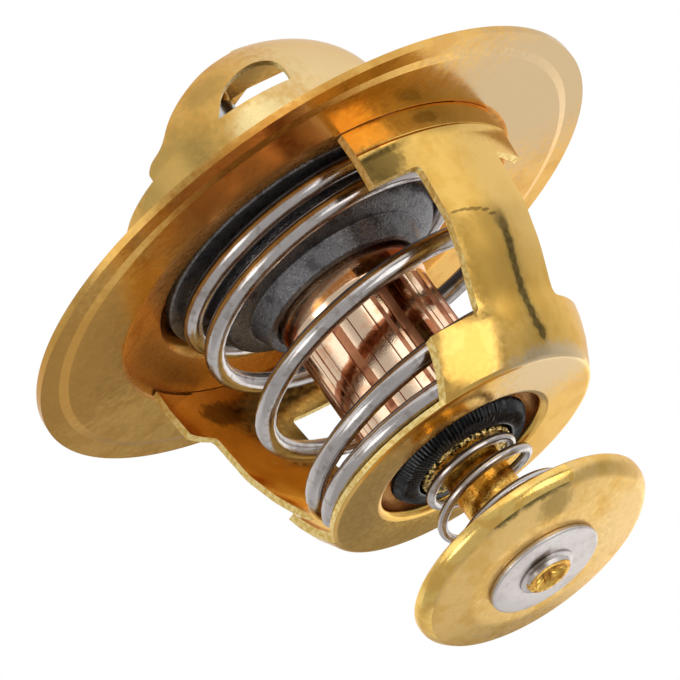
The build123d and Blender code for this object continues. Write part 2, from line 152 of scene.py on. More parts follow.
@dataclass(frozen=True)
class Finish:
    """A surface with cloudy tone, fine grain and scratches.

    Args:
        name: Name of the material.
        colour: Main colour.
        tone: Colour of the tarnished patches.
        roughness: Lowest and highest roughness over the surface.
        cloud: Size of the patches in millimetres.
        grain: Size of the grain in millimetres.
        depth: Height of the grain in millimetres.
        share: How much of the surface the tone may cover, from 0 to 1.
        metallic: 1 for bare metal.
        scratch: Height of the fine scratches in millimetres.
        marks: Patches of painted light and shade at known places.
    """

    name: str
    colour: Colour
    tone: Colour
    roughness: Point2
    cloud: float = 8.0
    grain: float = 0.12
    depth: float = 0.002
    share: float = 0.4
    metallic: float = 1.0
    scratch: float = 0.0
    marks: tuple[Mark, ...] = ()

    def build(self) -> Material:
        """Make the node material.

        Returns:
            The new material.
        """
        material = bpy.data.materials.new(self.name)
        material.use_nodes = True
        tree = material.node_tree
        shader = tree.nodes["Principled BSDF"]
        shader.inputs["Metallic"].default_value = self.metallic
        if self.metallic > METAL_FROM:
            tint = tuple(1.0 - EDGE_TINT + EDGE_TINT * part for part in self.colour)
            shader.inputs["Specular Tint"].default_value = tint
        coords = tree.nodes.new("ShaderNodeTexCoord").outputs["Object"]
        cloud = self._noise(tree, coords, self.cloud, CLOUD_DETAIL)
        level = TONE_LEVEL[0] + TONE_LEVEL[1] * self.share
        patches = self._spread(tree, cloud, (level - TONE_EDGE[0], level + TONE_EDGE[1]), (0.0, 1.0))
        colour = self._mix(tree, patches, self.colour, self.tone)
        ragged = self._noise(tree, coords, PAINTED_PATCH_RAG, CLOUD_DETAIL) if self.marks else None
        for mark in self.marks:
            colour = self._painted_patch(tree, coords, colour, mark, ragged)
        tree.links.new(colour, shader.inputs["Base Color"])
        fine = self._noise(tree, coords, self.cloud / FINE_CELLS, FINE_DETAIL)
        tree.links.new(self._spread(tree, fine, NOISE_SPAN, self.roughness), shader.inputs["Roughness"])
        normal = self._bump(tree, self._noise(tree, coords, self.grain, GRAIN_DETAIL), self.depth, None)
        if self.scratch:
            normal = self._bump(tree, self._scratches(tree, coords), self.scratch, normal)
        tree.links.new(normal, shader.inputs["Normal"])
        return material

    @staticmethod
    def _noise(tree: Tree, vector: Socket, size: float, detail: float) -> Socket:
        """Add a noise texture.

        Args:
            tree: Tree of the material.
            vector: Place on the object.
            size: Size of its cells in millimetres.
            detail: How many finer layers it has.

        Returns:
            Its value, from 0 to 1.
        """
        texture = tree.nodes.new("ShaderNodeTexNoise")
        texture.inputs["Scale"].default_value = 1.0 / (size * MM)
        texture.inputs["Detail"].default_value = detail
        tree.links.new(vector, texture.inputs["Vector"])
        return texture.outputs["Fac"]

    @staticmethod
    def _spread(tree: Tree, value: Socket, span: Point2, result: Point2) -> Socket:
        """Stretch a span of values over a result, softly at both ends.

        Args:
            tree: Tree of the material.
            value: The value to stretch.
            span: Where the result starts and ends to change.
            result: What comes out at both ends.

        Returns:
            The stretched value.
        """
        node = tree.nodes.new("ShaderNodeMapRange")
        node.interpolation_type = "SMOOTHSTEP"
        node.inputs["From Min"].default_value, node.inputs["From Max"].default_value = span
        node.inputs["To Min"].default_value, node.inputs["To Max"].default_value = result
        tree.links.new(value, node.inputs["Value"])
        return node.outputs["Result"]

    @staticmethod
    def _mix(tree: Tree, share: Socket, first: Colour | Socket, last: Colour) -> Socket:
        """Mix a colour into another one.

        Args:
            tree: Tree of the material.
            share: How much of the last colour there is.
            first: Colour where the share is 0.
            last: Colour where the share is 1.

        Returns:
            The mixed colour.
        """
        node = tree.nodes.new("ShaderNodeMix")
        node.data_type = "RGBA"
        tree.links.new(share, node.inputs[0])
        if isinstance(first, tuple):
            node.inputs[6].default_value = first
        else:
            tree.links.new(first, node.inputs[6])
        node.inputs[7].default_value = last
        return node.outputs[2]

    def _painted_patch(self, tree: Tree, coords: Socket, colour: Socket, mark: Mark, uneven: Socket) -> Socket:
        """Lay one ragged patch of painted light and shade over a colour.

        Args:
            tree: Tree of the material.
            coords: Place on the object.
            colour: Colour of the surface so far.
            mark: The painted patch.
            uneven: Noise that makes its border ragged.

        Returns:
            The colour with the painted patch.
        """
        mapping = tree.nodes.new("ShaderNodeMapping")
        mapping.vector_type = "TEXTURE"
        mapping.inputs["Location"].default_value = tuple(value * MM for value in mark.place)
        mapping.inputs["Scale"].default_value = tuple(value * MM for value in mark.reach)
        tree.links.new(coords, mapping.inputs["Vector"])
        length = tree.nodes.new("ShaderNodeVectorMath")
        length.operation = "LENGTH"
        tree.links.new(mapping.outputs["Vector"], length.inputs[0])
        ragged = tree.nodes.new("ShaderNodeMath")
        ragged.operation = "ADD"
        tree.links.new(length.outputs["Value"], ragged.inputs[0])
        tree.links.new(uneven, ragged.inputs[1])
        span = (PAINTED_PATCH_LEVEL - mark.soft * PAINTED_PATCH_EDGE[0], PAINTED_PATCH_LEVEL + mark.soft * PAINTED_PATCH_EDGE[1])
        share = self._spread(tree, ragged.outputs[0], span, (mark.strength, 0.0))
        return self._mix(tree, share, colour, mark.colour)

    def _scratches(self, tree: Tree, coords: Socket) -> Socket:
        """Thin random lines, from the cell walls of a stretched pattern.

        Args:
            tree: Tree of the material.
            coords: Place on the object.

        Returns:
            Height of the surface, 0 in a scratch.
        """
        mapping = tree.nodes.new("ShaderNodeMapping")
        mapping.inputs["Rotation"].default_value = SCRATCH_TURN
        mapping.inputs["Scale"].default_value = SCRATCH_SHAPE
        tree.links.new(coords, mapping.inputs["Vector"])
        cells = tree.nodes.new("ShaderNodeTexVoronoi")
        cells.feature = "DISTANCE_TO_EDGE"
        cells.inputs["Scale"].default_value = 1.0 / (SCRATCH_CELL * MM)
        tree.links.new(mapping.outputs["Vector"], cells.inputs["Vector"])
        return self._spread(tree, cells.outputs["Distance"], (0.0, SCRATCH_EDGE), (0.0, 1.0))

    @staticmethod
    def _bump(tree: Tree, height: Socket, depth: float, under: Optional[Socket]) -> Socket:
        """Turn a height into a normal.

        Args:
            tree: Tree of the material.
            height: Height from 0 to 1.
            depth: What a height of 1 is in millimetres.
            under: Normal that it lies on, where there is one.

        Returns:
            The new normal.
        """
        node = tree.nodes.new("ShaderNodeBump")
        node.inputs["Strength"].default_value = 1.0
        node.inputs["Distance"].default_value = depth * MM
        tree.links.new(height, node.inputs["Height"])
        if under:
            tree.links.new(under, node.inputs["Normal"])
        return node.outputs["Normal"]


# Places of the painted dark reflection down a leg, of the painted dark reflection arch above it, and of the
# coil's painted shade on the capsule
LEG_REFLECTION_LINE = (
    (20.4, -0.6, 14.2), (20.1, -0.6, 15.2), (19.6, -0.5, 16.1), (19.2, -0.4, 17.0), (18.6, -0.4, 18.1),
    (18.1, -0.4, 19.2), (17.8, -0.35, 20.2), (17.4, -0.35, 21.1), (17.0, -0.4, 22.2), (16.7, -0.55, 23.3),
    (16.4, -0.9, 24.2),
)
LEG_REFLECTION_ARCH = (
    (20.7, 4.6, 11.8), (20.9, 3.7, 11.85), (21.0, 2.8, 12.0), (21.0, 1.9, 12.15), (21.0, 1.0, 12.4),
    (20.8, 0.2, 12.9),
)
COIL_SHADE = (
    (7.4, 1.7, 10.2), (7.3, 2.1, 11.6), (6.9, 3.2, 12.6), (6.2, 4.4, 13.2), (5.3, 5.4, 13.5),
    (4.6, 6.0, 13.8), (3.9, 6.5, 14.0), (2.9, 7.0, 14.2), (2.1, 7.3, 14.3), (1.0, 7.5, 14.6),
    (0.0, 7.6, 14.9), (-1.2, 7.5, 15.1), (-2.3, 7.3, 15.3), (7.3, 2.1, 14.0), (7.4, 1.6, 15.4),
    (7.4, 1.4, 16.8), (7.5, -1.0, 12.8), (7.3, -2.3, 13.9),
)
# Places of the painted shade along the crease of the bypass disc
DISC_CREASE_SHADE = ((7.6, 9.9, 37.5), (8.6, 9.2, 37.5), (10.1, 7.6, 37.6), (11.0, 6.2, 37.5), (11.8, 4.6, 37.4))
BRASS = Finish(
    "drawn_brass", (0.80, 0.50, 0.13, 1), (0.74, 0.44, 0.10, 1), (0.11, 0.22), cloud=3.0, share=0.5,
    grain=0.3, depth=0.003, scratch=0.0006,
    marks=(
        # painted reflections on a leg: a darker patch high up and a paler one low down
        Mark((19.5, 2.4, 18.0), (5.0, 3.0, 6.4), (0.66, 0.38, 0.07, 1), 0.55, 0.3),
        Mark((20.0, -4.5, 9.0), (5.0, 5.0, 9.0), (0.82, 0.57, 0.22, 1), 0.5, 0.8),
        # painted reflections: the dark arch across a leg, the dark line down it in two layers, and a dark
        # spot where that line starts
        *trail(LEG_REFLECTION_ARCH, (2.0, 0.6, 0.16), (0.30, 0.19, 0.05, 1), 0.9),
        *trail(LEG_REFLECTION_LINE, (2.0, 0.8, 1.0), (0.32, 0.22, 0.06, 1), 0.45, 0.9),
        *trail(LEG_REFLECTION_LINE, (2.0, 0.5, 0.75), (0.12, 0.085, 0.03, 1), 0.78),
        Mark((20.7, -0.5, 13.6), (2.0, 0.9, 1.1), (0.25, 0.16, 0.05, 1), 0.7, 1.0),
        # painted shade on both feet, one patch low on a foot next to the flange
        Mark((20.3, 9.0, 4.6), (2.6, 2.6, 2.0), (0.28, 0.18, 0.05, 1), 0.85),
        Mark((22.3, 1.6, 1.6), (1.0, 1.8, 0.7), (0.42, 0.26, 0.06, 1), 0.7),
        Mark((-21.4, 1.6, 3.2), (2.0, 3.2, 1.7), (0.16, 0.09, 0.03, 1), 0.85, 0.6),
        # painted shade on one side of the end plate and painted light on the other
        Mark((-4.0, 11.0, 26.4), (9.0, 7.0, 2.0), (0.62, 0.38, 0.12, 1), 0.7, 0.9),
        Mark((16.0, -3.0, 26.4), (9.0, 8.0, 1.3), (0.68, 0.54, 0.34, 1), 0.9, 0.8),
    ),
)
FLANGE_BRASS = Finish(
    "spun_brass", (0.76, 0.45, 0.12, 1), (0.68, 0.38, 0.09, 1), (0.15, 0.26), cloud=3.0, share=0.5,
    grain=0.25, depth=0.006, scratch=0.0006,
    marks=(
        # painted reflection: a paler, greyer patch on one side of the flange
        Mark((22.0, -16.0, 0.0), (14.0, 20.0, 4.0), (0.57, 0.43, 0.25, 1), 1.0, 0.9),
        # painted highlights on the dome
        Mark((16.0, -2.0, -14.0), (8.0, 10.0, 9.0), (0.88, 0.66, 0.34, 1), 0.95, 0.9),
        Mark((12.3, 9.5, -8.5), (3.0, 3.4, 2.4), (0.98, 0.80, 0.40, 1), 0.8, 0.7),
        # painted shade on the dome
        Mark((3.5, 15.5, -9.5), (6.5, 6.0, 5.0), (0.47, 0.31, 0.09, 1), 0.85, 0.9),
        Mark((10.0, 12.0, -15.0), (2.5, 3.5, 2.0), (0.46, 0.30, 0.09, 1), 0.6, 0.8),
        # painted shade on two sides of the flange
        Mark((16.5, 18.5, 0.3), (13.0, 12.0, 1.5), (0.56, 0.24, 0.04, 1), 0.9, 0.8),
        Mark((-12.0, 26.0, 0.2), (16.0, 12.0, 2.0), (0.53, 0.28, 0.06, 1), 0.85, 0.9),
    ),
)
THROAT_BRASS = Finish(
    "drawn_throat", (0.80, 0.37, 0.07, 1), (0.64, 0.27, 0.04, 1), (0.24, 0.36), cloud=3.0, share=0.5,
    grain=0.25, depth=0.006, metallic=0.82,
    # painted shade on one side of the throat
    marks=(Mark((-16.0, 12.0, -1.0), (9.0, 9.0, 6.0), (0.44, 0.21, 0.05, 1), 0.85, 0.9),),
)
# a darker copy of the brass for the inner wall of the plate's lip: painted shade
LIP_BRASS = Finish(
    "shaded_lip", (0.50, 0.27, 0.09, 1), (0.38, 0.19, 0.06, 1), (0.26, 0.38), cloud=2.0, grain=0.2,
    depth=0.004,
)
CUT_BRASS = Finish(
    "sheared_brass", (0.98, 0.76, 0.31, 1), (0.80, 0.53, 0.14, 1), (0.26, 0.42), cloud=0.5, share=0.55,
    grain=0.22, depth=0.06, metallic=0.75,
)
DISC_BRASS = Finish(
    "satin_brass", (0.82, 0.55, 0.20, 1), (0.74, 0.46, 0.13, 1), (0.26, 0.40), cloud=3.0, share=0.5,
    grain=0.2, depth=0.008, scratch=0.0008,
    marks=(
        # painted shade along the disc's crease, and a painted dark reflection beside it
        *trail(DISC_CREASE_SHADE, (1.3, 1.3, 1.0), (0.16, 0.12, 0.04, 1), 0.85),
        Mark((9.4, 4.2, 38.6), (2.2, 2.0, 1.5), (0.40, 0.27, 0.09, 1), 0.85, 0.8),
        # painted highlights on the rim
        Mark((4.6, 11.6, 37.2), (3.4, 1.5, 1.3), (1.0, 0.68, 0.20, 1), 0.95, 0.7),
        Mark((0.0, 12.6, 38.0), (3.0, 1.2, 1.3), (0.96, 0.62, 0.20, 1), 0.8, 0.8),
        # painted light on one side of the disc's face
        Mark((5.0, -9.0, 40.0), (6.0, 5.0, 3.0), (0.82, 0.60, 0.28, 1), 0.8, 0.8),
    ),
)
# a brighter copy of the disc's brass on one side of its rim: painted highlight
RIM_PAINTED_HIGHLIGHT = Finish(
    "rim_painted_highlight", (1.0, 0.68, 0.20, 1), (0.88, 0.54, 0.13, 1), (0.14, 0.26), cloud=2.0, share=0.5,
    grain=0.3, depth=0.012,
)
TURNED_BRASS = Finish(
    "turned_brass", (0.88, 0.54, 0.12, 1), (0.56, 0.28, 0.05, 1), (0.12, 0.25), cloud=1.0, share=0.55,
    grain=0.3, depth=0.02,
    # painted shade in the punched hollow of the rivet head
    marks=(Mark((0.1, 0.1, 41.2), (1.0, 1.0, 0.7), (0.28, 0.11, 0.02, 1), 0.9),),
)
ROUGH_BRASS = Finish(
    "rough_brass", (1.0, 0.72, 0.26, 1), (0.03, 0.025, 0.015, 1), (0.15, 0.45), cloud=0.5, share=0.56,
    grain=0.3, depth=0.09,
)
COPPER = Finish(
    "polished_copper", (1.0, 0.74, 0.52, 1), (0.97, 0.58, 0.35, 1), (0.07, 0.16), cloud=2.0, share=0.4,
    grain=0.16, depth=0.005,
    marks=(
        # painted shade of the coil on the capsule, and painted dark reflections on two sides of its bulge
        *trail(COIL_SHADE, (1.0, 1.0, 0.75), (0.38, 0.10, 0.03, 1), 0.92),
        Mark((7.0, -1.0, 6.3), (3.0, 3.6, 1.4), (0.40, 0.07, 0.02, 1), 0.8),
        Mark((-3.0, 7.2, 7.0), (2.4, 1.2, 1.5), (0.45, 0.10, 0.03, 1), 0.8),
    ),
)
# darker copper in the fine grooves between the flats: painted shade
SEAM_COPPER = Finish("copper_seam", (0.56, 0.25, 0.13, 1), (0.30, 0.10, 0.05, 1), (0.3, 0.4), cloud=2.0)
SPRING_STEEL = Finish(
    "spring_wire", (0.57, 0.53, 0.51, 1), (0.44, 0.39, 0.36, 1), (0.13, 0.26), cloud=1.2, share=0.35,
    grain=0.14, depth=0.004,
)
GROUND_STEEL = Finish("ground_steel", (0.60, 0.60, 0.60, 1), (0.45, 0.45, 0.45, 1), (0.2, 0.3))
PLATED_STEEL = Finish(
    "plated_washer", (0.70, 0.65, 0.62, 1), (0.62, 0.56, 0.53, 1), (0.30, 0.42), cloud=2.0, grain=0.08,
    depth=0.002,
    # painted shadow of the rivet head on the washer
    marks=(Mark((1.9, 2.3, 40.6), (1.9, 1.0, 0.7), (0.16, 0.11, 0.07, 1), 0.85, 0.8),),
)
VALVE_METAL = Finish(
    "grainy_valve", (0.20, 0.195, 0.20, 1), (0.11, 0.105, 0.11, 1), (0.24, 0.40), cloud=1.5,
    grain=0.28, depth=0.13, metallic=0.85,
)
SEAL_RUBBER = Finish("seal_rubber", (0.03, 0.03, 0.03, 1), (0.02, 0.02, 0.02, 1), (0.5, 0.7), metallic=0.0)
BLACK_RING = Finish(
    "black_ring", (0.016, 0.016, 0.018, 1), (0.008, 0.008, 0.008, 1), (0.16, 0.34), cloud=1.0,
    grain=0.2, depth=0.03, metallic=0.0,
)
WHITE_PLASTIC = Finish("white_plastic", (0.8, 0.8, 0.78, 1), (0.72, 0.72, 0.70, 1), (0.4, 0.5), metallic=0.0)
WAX = Finish("wax", (0.62, 0.42, 0.28, 1), (0.50, 0.32, 0.20, 1), (0.5, 0.6), metallic=0.0)
FINISHES = (
    BRASS, FLANGE_BRASS, THROAT_BRASS, LIP_BRASS, CUT_BRASS, DISC_BRASS, RIM_PAINTED_HIGHLIGHT, TURNED_BRASS,
    ROUGH_BRASS, COPPER, SEAM_COPPER, SPRING_STEEL, GROUND_STEEL, PLATED_STEEL, VALVE_METAL, SEAL_RUBBER,
    BLACK_RING, WHITE_PLASTIC, WAX,
)
# Finishes of the hidden pieces, which keep the meshes of their nodes
HIDDEN = {
    "piston": GROUND_STEEL, "piston_guide": TURNED_BRASS, "guide_seal": SEAL_RUBBER,
    "rubber_boot": SEAL_RUBBER, "wax_charge": WAX, "backup_washer": WHITE_PLASTIC,
}


# ---- mesh helpers ------------------------------------------------------------------------------


def polar(radius: float, angle: float, height: float = 0.0) -> Vector:
    """Point at a radius, an angle in degrees and a height."""
    return Vector((radius * math.cos(math.radians(angle)), radius * math.sin(math.radians(angle)), height))


def rounded(corners: Sequence[Point2], radii: Sequence[float], steps: int = 5) -> list[Point2]:
    """Round the inner corners of an open profile.

    Args:
        corners: Corner points as radius and height.
        radii: Radius of each corner; the first and last are not used.
        steps: Stretches of each round.

    Returns:
        The points of the rounded profile.
    """
    points = [corners[0]]
    for index in range(1, len(corners) - 1):
        before, here, after = (Vector(corner) for corner in corners[index - 1:index + 2])
        back, forth = before - here, after - here
        reach = radii[index] / math.tan(back.angle(forth) / 2)
        reach = min(reach, back.length * SIDE_SHARE, forth.length * SIDE_SHARE)
        if reach < TINY:
            points.append(tuple(here))
            continue
        first, last = here + back.normalized() * reach, here + forth.normalized() * reach
        for step in range(steps + 1):
            share = step / steps
            points.append(tuple(first.lerp(here, share).lerp(here.lerp(last, share), share)))
    points.append(corners[-1])
    return points


def smooth(points: Sequence[Point2], steps: int = 6) -> list[Point2]:
    """Draw a smooth curve through points.

    Args:
        points: Points that it passes through.
        steps: Stretches between two of them.

    Returns:
        Points along the curve.
    """
    line = [Vector(point) for point in points]
    line = [2 * line[0] - line[1], *line, 2 * line[-1] - line[-2]]
    curve = []
    for index in range(1, len(line) - 2):
        a, b, c, d = line[index - 1:index + 3]
        square, cube = 2 * a - 5 * b + 4 * c - d, 3 * b - a - 3 * c + d
        for step in range(steps):
            t = step / steps
            place = 2 * b + (c - a) * t + square * t ** 2 + cube * t ** 3
            curve.append(tuple(place / 2))
    return curve + [tuple(line[-2])]


def offset(points: Sequence[Point2], distance: float) -> list[Point2]:
    """Move an open profile to its left.

    Args:
        points: Points of the profile.
        distance: How far it moves.

    Returns:
        Points of the moved profile, without those that would turn back.
    """
    line = [Vector(point) for point in points]
    moved = []
    for index, here in enumerate(line):
        along = [
            (line[index + 1] - here) if index + 1 < len(line) else None,
            (here - line[index - 1]) if index else None,
        ]
        sides = [way for way in along if way is not None and way.length > SAME]
        normals = [Vector((-way.y, way.x)).normalized() for way in sides]
        middle = sum(normals, Vector((0, 0))).normalized()
        place = here + middle * distance / max(MITRE, middle.dot(normals[0]))
        if not moved or (place - Vector(moved[-1])).dot(along[1]) > 0:
            moved.append(tuple(place))
    return moved


class Piece:
    """One mesh of the object while it is being made, in millimetres."""

    def __init__(self, name: str) -> None:
        """Start an empty mesh.

        Args:
            name: Name of the piece.
        """
        self.name = name
        self.mesh = bmesh.new()
        self.cutters: list[bpy.types.Object] = []

    def spin(self, profile: Sequence[Point2], segments: int = ROUND_SEGMENTS, closed: bool = True) -> None:
        """Turn a profile round the axis.

        Args:
            profile: Points as radius and height.
            segments: Facets round the axis.
            closed: Whether the last point joins the first.
        """
        verts = [self.mesh.verts.new((radius, 0.0, height)) for radius, height in profile]
        pairs = list(zip(verts, verts[1:] + verts[:1] if closed else verts[1:]))
        edges = [self.mesh.edges.new(pair) for pair in pairs]
        bmesh.ops.spin(
            self.mesh, geom=verts + edges, axis=(0, 0, 1), cent=(0, 0, 0),
            angle=math.tau, steps=segments, use_merge=True,
        )
        bmesh.ops.remove_doubles(self.mesh, verts=self.mesh.verts, dist=MERGE)
        bmesh.ops.dissolve_degenerate(self.mesh, edges=self.mesh.edges, dist=SLIVER)
        bmesh.ops.recalc_face_normals(self.mesh, faces=self.mesh.faces)

    def carve(self, outline: Sequence[Vector], along: Vector, finish: Material) -> None:
        """Ask for a straight cut through the piece.

        Args:
            outline: Corners of the cut, in one plane.
            along: Direction and length of the cut.
            finish: Material of the cut faces.
        """
        mesh = bmesh.new()
        face = mesh.faces.new([mesh.verts.new(corner) for corner in outline])
        made = bmesh.ops.extrude_face_region(mesh, geom=[face])
        moved = [item for item in made["geom"] if isinstance(item, bmesh.types.BMVert)]
        bmesh.ops.translate(mesh, verts=moved, vec=along)
        bmesh.ops.recalc_face_normals(mesh, faces=mesh.faces)
        data = bpy.data.meshes.new("cutter")
        mesh.to_mesh(data)
        mesh.free()
        data.materials.append(finish)
        cutter = bpy.data.objects.new("cutter", data)
        bpy.context.scene.collection.objects.link(cutter)
        self.cutters.append(cutter)

    def shift(self, move: Move) -> None:
        """Move every point by a rule."""
        for vert in self.mesh.verts:
            vert.co = move(vert.co)

    def close(
        self, material: Material, body: Body, slot: str, nodes: Sequence[str], sharp: float = 32.0
    ) -> bpy.types.Object:
        """Finish the mesh, give it its material and tie it to its body.

        Args:
            material: Its material.
            body: The body that it rides on.
            slot: Name of a slot of the record; not used.
            nodes: CAD nodes that it stands for.
            sharp: Angle in degrees above which an edge is shaded sharp.

        Returns:
            The finished object.
        """
        data = bpy.data.meshes.new(self.name)
        self.mesh.to_mesh(data)
        self.mesh.free()
        data.materials.append(material)
        piece = bpy.data.objects.new(self.name, data)
        bpy.context.scene.collection.objects.link(piece)
        for cutter in self.cutters:
            cut = piece.modifiers.new("cut", "BOOLEAN")
            cut.operation = "DIFFERENCE"
            cut.solver = "EXACT"
            cut.material_mode = "TRANSFER"
            cut.object = cutter
        if self.cutters:
            shown = piece.evaluated_get(bpy.context.evaluated_depsgraph_get())
            piece.data = bpy.data.meshes.new_from_object(shown)
            piece.data.name = self.name
            piece.modifiers.clear()
            for cutter in self.cutters:
                bpy.data.objects.remove(cutter)
        piece.data.transform(Matrix.Scale(MM, 4))
        piece.data.shade_smooth()
        piece.data.set_sharp_from_angle(angle=math.radians(sharp))
        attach(piece, body.value)
        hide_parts(*nodes)
        log.info("%s: %d faces", self.name, len(piece.data.polygons))
        return piece


def paint(piece: bpy.types.Object, finish: Material, chosen: Chosen) -> None:
    """Give another finish to some faces.

    Args:
        piece: The finished piece.
        finish: The other finish.
        chosen: Whether a face takes it, by its middle in millimetres.
    """
    piece.data.materials.append(finish)
    for face in piece.data.polygons:
        if chosen(face.center / MM):
            face.material_index = len(piece.data.materials) - 1


def turned(name: str, corners: Sequence[Point3], segments: int = ROUND_SEGMENTS) -> Piece:
    """Turn a closed profile round the axis.

    Args:
        name: Name of the piece.
        corners: Radius, height and rounding of each corner.
        segments: Facets round the axis.

    Returns:
        The piece, still open to changes.
    """
    ring = [corners[-1], *corners, corners[0]]
    points = rounded([corner[:2] for corner in ring], [corner[2] for corner in ring], 5)[1:-1]
    piece = Piece(name)
    piece.spin(points, segments, closed=min(point[0] for point in points) > TINY)
    return piece


# ---- flange and dome ---------------------------------------------------------------------------


@dataclass
class FlangeDome:
    """The flange and its windowed dome, drawn from one brass sheet."""

    radius: float = 32.0
    sheet: float = 0.8
    band: float = 2.1
    ramp: float = 0.9
    step: float = 0.25
    throat: float = 22.7
    lip: Point2 = (17.5, -1.3)
    collar: float = 15.5
    collar_top: float = -5.2
    spring_line: float = -11.0
    rise: float = 10.9
    crown: float = -20.0
    strap_edge: tuple[Point2, ...] = (
        (1.4, 15.4), (4.1, 14.7), (5.6, 13.6), (7.4, 11.4), (8.6, 9.1), (9.8, 6.0), (10.3, 3.2),
    )
    bridge: float = 2.8
    wide_end: float = 212.0
    far_ends: Point2 = (-120.0, -60.0)
    leaf_angle: float = 35.0
    leaf_edge: tuple[Point2, ...] = (
        (4.12, 0.0), (2.4, -2.2), (0.65, -3.2), (-1.2, -3.7), (-2.7, -3.6), (-3.9, -2.8), (-4.3, -1.4),
        (-4.19, 0.0),
    )
    leaf_cut: Point2 = (4.0, 20.0)
    slot_radii: Point2 = (21.55, 22.5)
    slot_half: float = 4.0
    slot_steps: int = 4
    slot_cut: Point2 = (3.0, -8.0)
    shell_steps: int = 22
    clearance: float = 1.3
    cut_depth: float = 15.0

    def profile(self) -> list[Point2]:
        """Draw the inner side of the sheet.

        Returns:
            Its points, from the rim to the crown.
        """
        inner = self.collar - self.sheet
        rise = self.rise - self.sheet
        crown = self.crown + self.sheet
        flat = rounded(
            [
                (self.radius, 0.0),
                (self.radius - self.band, 0.0),
                (self.radius - self.band - self.ramp, self.step),
                (self.throat, self.step),
                self.lip,
                (inner, self.collar_top),
                (inner, self.spring_line),
            ],
            [0.0, 0.25, 0.35, 3.0, 0.35, 1.5, 0.0],
        )
        last = math.degrees(math.asin((self.spring_line - crown) / rise))
        turns = [math.radians(last * step / self.shell_steps) for step in range(1, self.shell_steps + 1)]
        shell = [(inner * math.cos(turn), self.spring_line - rise * math.sin(turn)) for turn in turns]
        return flat + shell + [(0.0, crown)]

    def build(self, brass: Material, throat: Material, cut: Material) -> None:
        """Make the piece.

        Args:
            brass: Material of the sheet.
            throat: Material of the drawn throat.
            cut: Material of the cut edges.
        """
        inside = self.profile()
        outside = offset(inside, self.sheet)
        outside[-1] = (0.0, self.crown)
        piece = Piece("brass_flange")
        piece.spin(inside[::-1] + outside, SHEET_SEGMENTS, closed=False)
        self._open_dome(piece, cut)
        flange = piece.close(brass, Body.HOUSING, "brass_sheet", ["flange_dome"], sharp=30.0)
        paint(flange, throat, self._in_throat)

    def _in_throat(self, spot: Vector) -> bool:
        """Whether a place lies on the throat, on its open side."""
        return self.lip[0] - 0.2 < spot.xy.length < self.throat + 0.1 and spot.z > self.lip[1] - 0.1

    def _open_dome(self, piece: Piece, cut: Material) -> None:
        """Cut the leaf shaped window, the two wide ones and the slots for the frame's tabs.

        Args:
            piece: The sheet, still open to changes.
            cut: Material of the cut edges.
        """
        down = Vector((0, 0, -self.cut_depth))
        turn = math.radians(self.leaf_angle)
        across = Vector((-math.sin(turn), math.cos(turn), 0.0))
        outward = Vector((math.cos(turn), math.sin(turn), 0.0))
        base = Vector((0, 0, self.spring_line))
        begin, length = self.leaf_cut
        leaf = [base + outward * begin + across * x + Vector((0, 0, y)) for x, y in smooth(self.leaf_edge)]
        piece.carve(leaf, outward * length, cut)
        clear = self.collar * self.clearance
        wide = [Vector((x, y, self.spring_line)) for x, y in smooth(self.strap_edge)]
        wide += [
            Vector((self.bridge, self.bridge * 0.3, self.spring_line)),
            Vector((0, self.bridge * 0.9, self.spring_line)),
            polar(clear, self.wide_end, self.spring_line),
            Vector((-clear, clear, self.spring_line)),
            Vector((0.8, clear, self.spring_line)),
        ]
        piece.carve(wide, down, cut)
        far = [
            Vector((self.bridge, -self.bridge, self.spring_line)),
            polar(clear, self.far_ends[1], self.spring_line),
            Vector((-clear * 0.2, -clear * 1.2, self.spring_line)),
            polar(clear, self.far_ends[0], self.spring_line),
            Vector((-self.bridge, -self.bridge * 0.9, self.spring_line)),
        ]
        piece.carve(far, down, cut)
        for side in (0, 180):
            reach = [math.degrees(math.asin(self.slot_half / radius)) for radius in self.slot_radii]
            shares = [step / self.slot_steps for step in range(-self.slot_steps, self.slot_steps + 1)]
            height, depth = self.slot_cut
            ring = [polar(self.slot_radii[0], side + reach[0] * share, height) for share in shares]
            ring += [polar(self.slot_radii[1], side - reach[1] * share, height) for share in shares]
            piece.carve(ring, Vector((0, 0, depth)), cut)


# ---- frame -------------------------------------------------------------------------------------


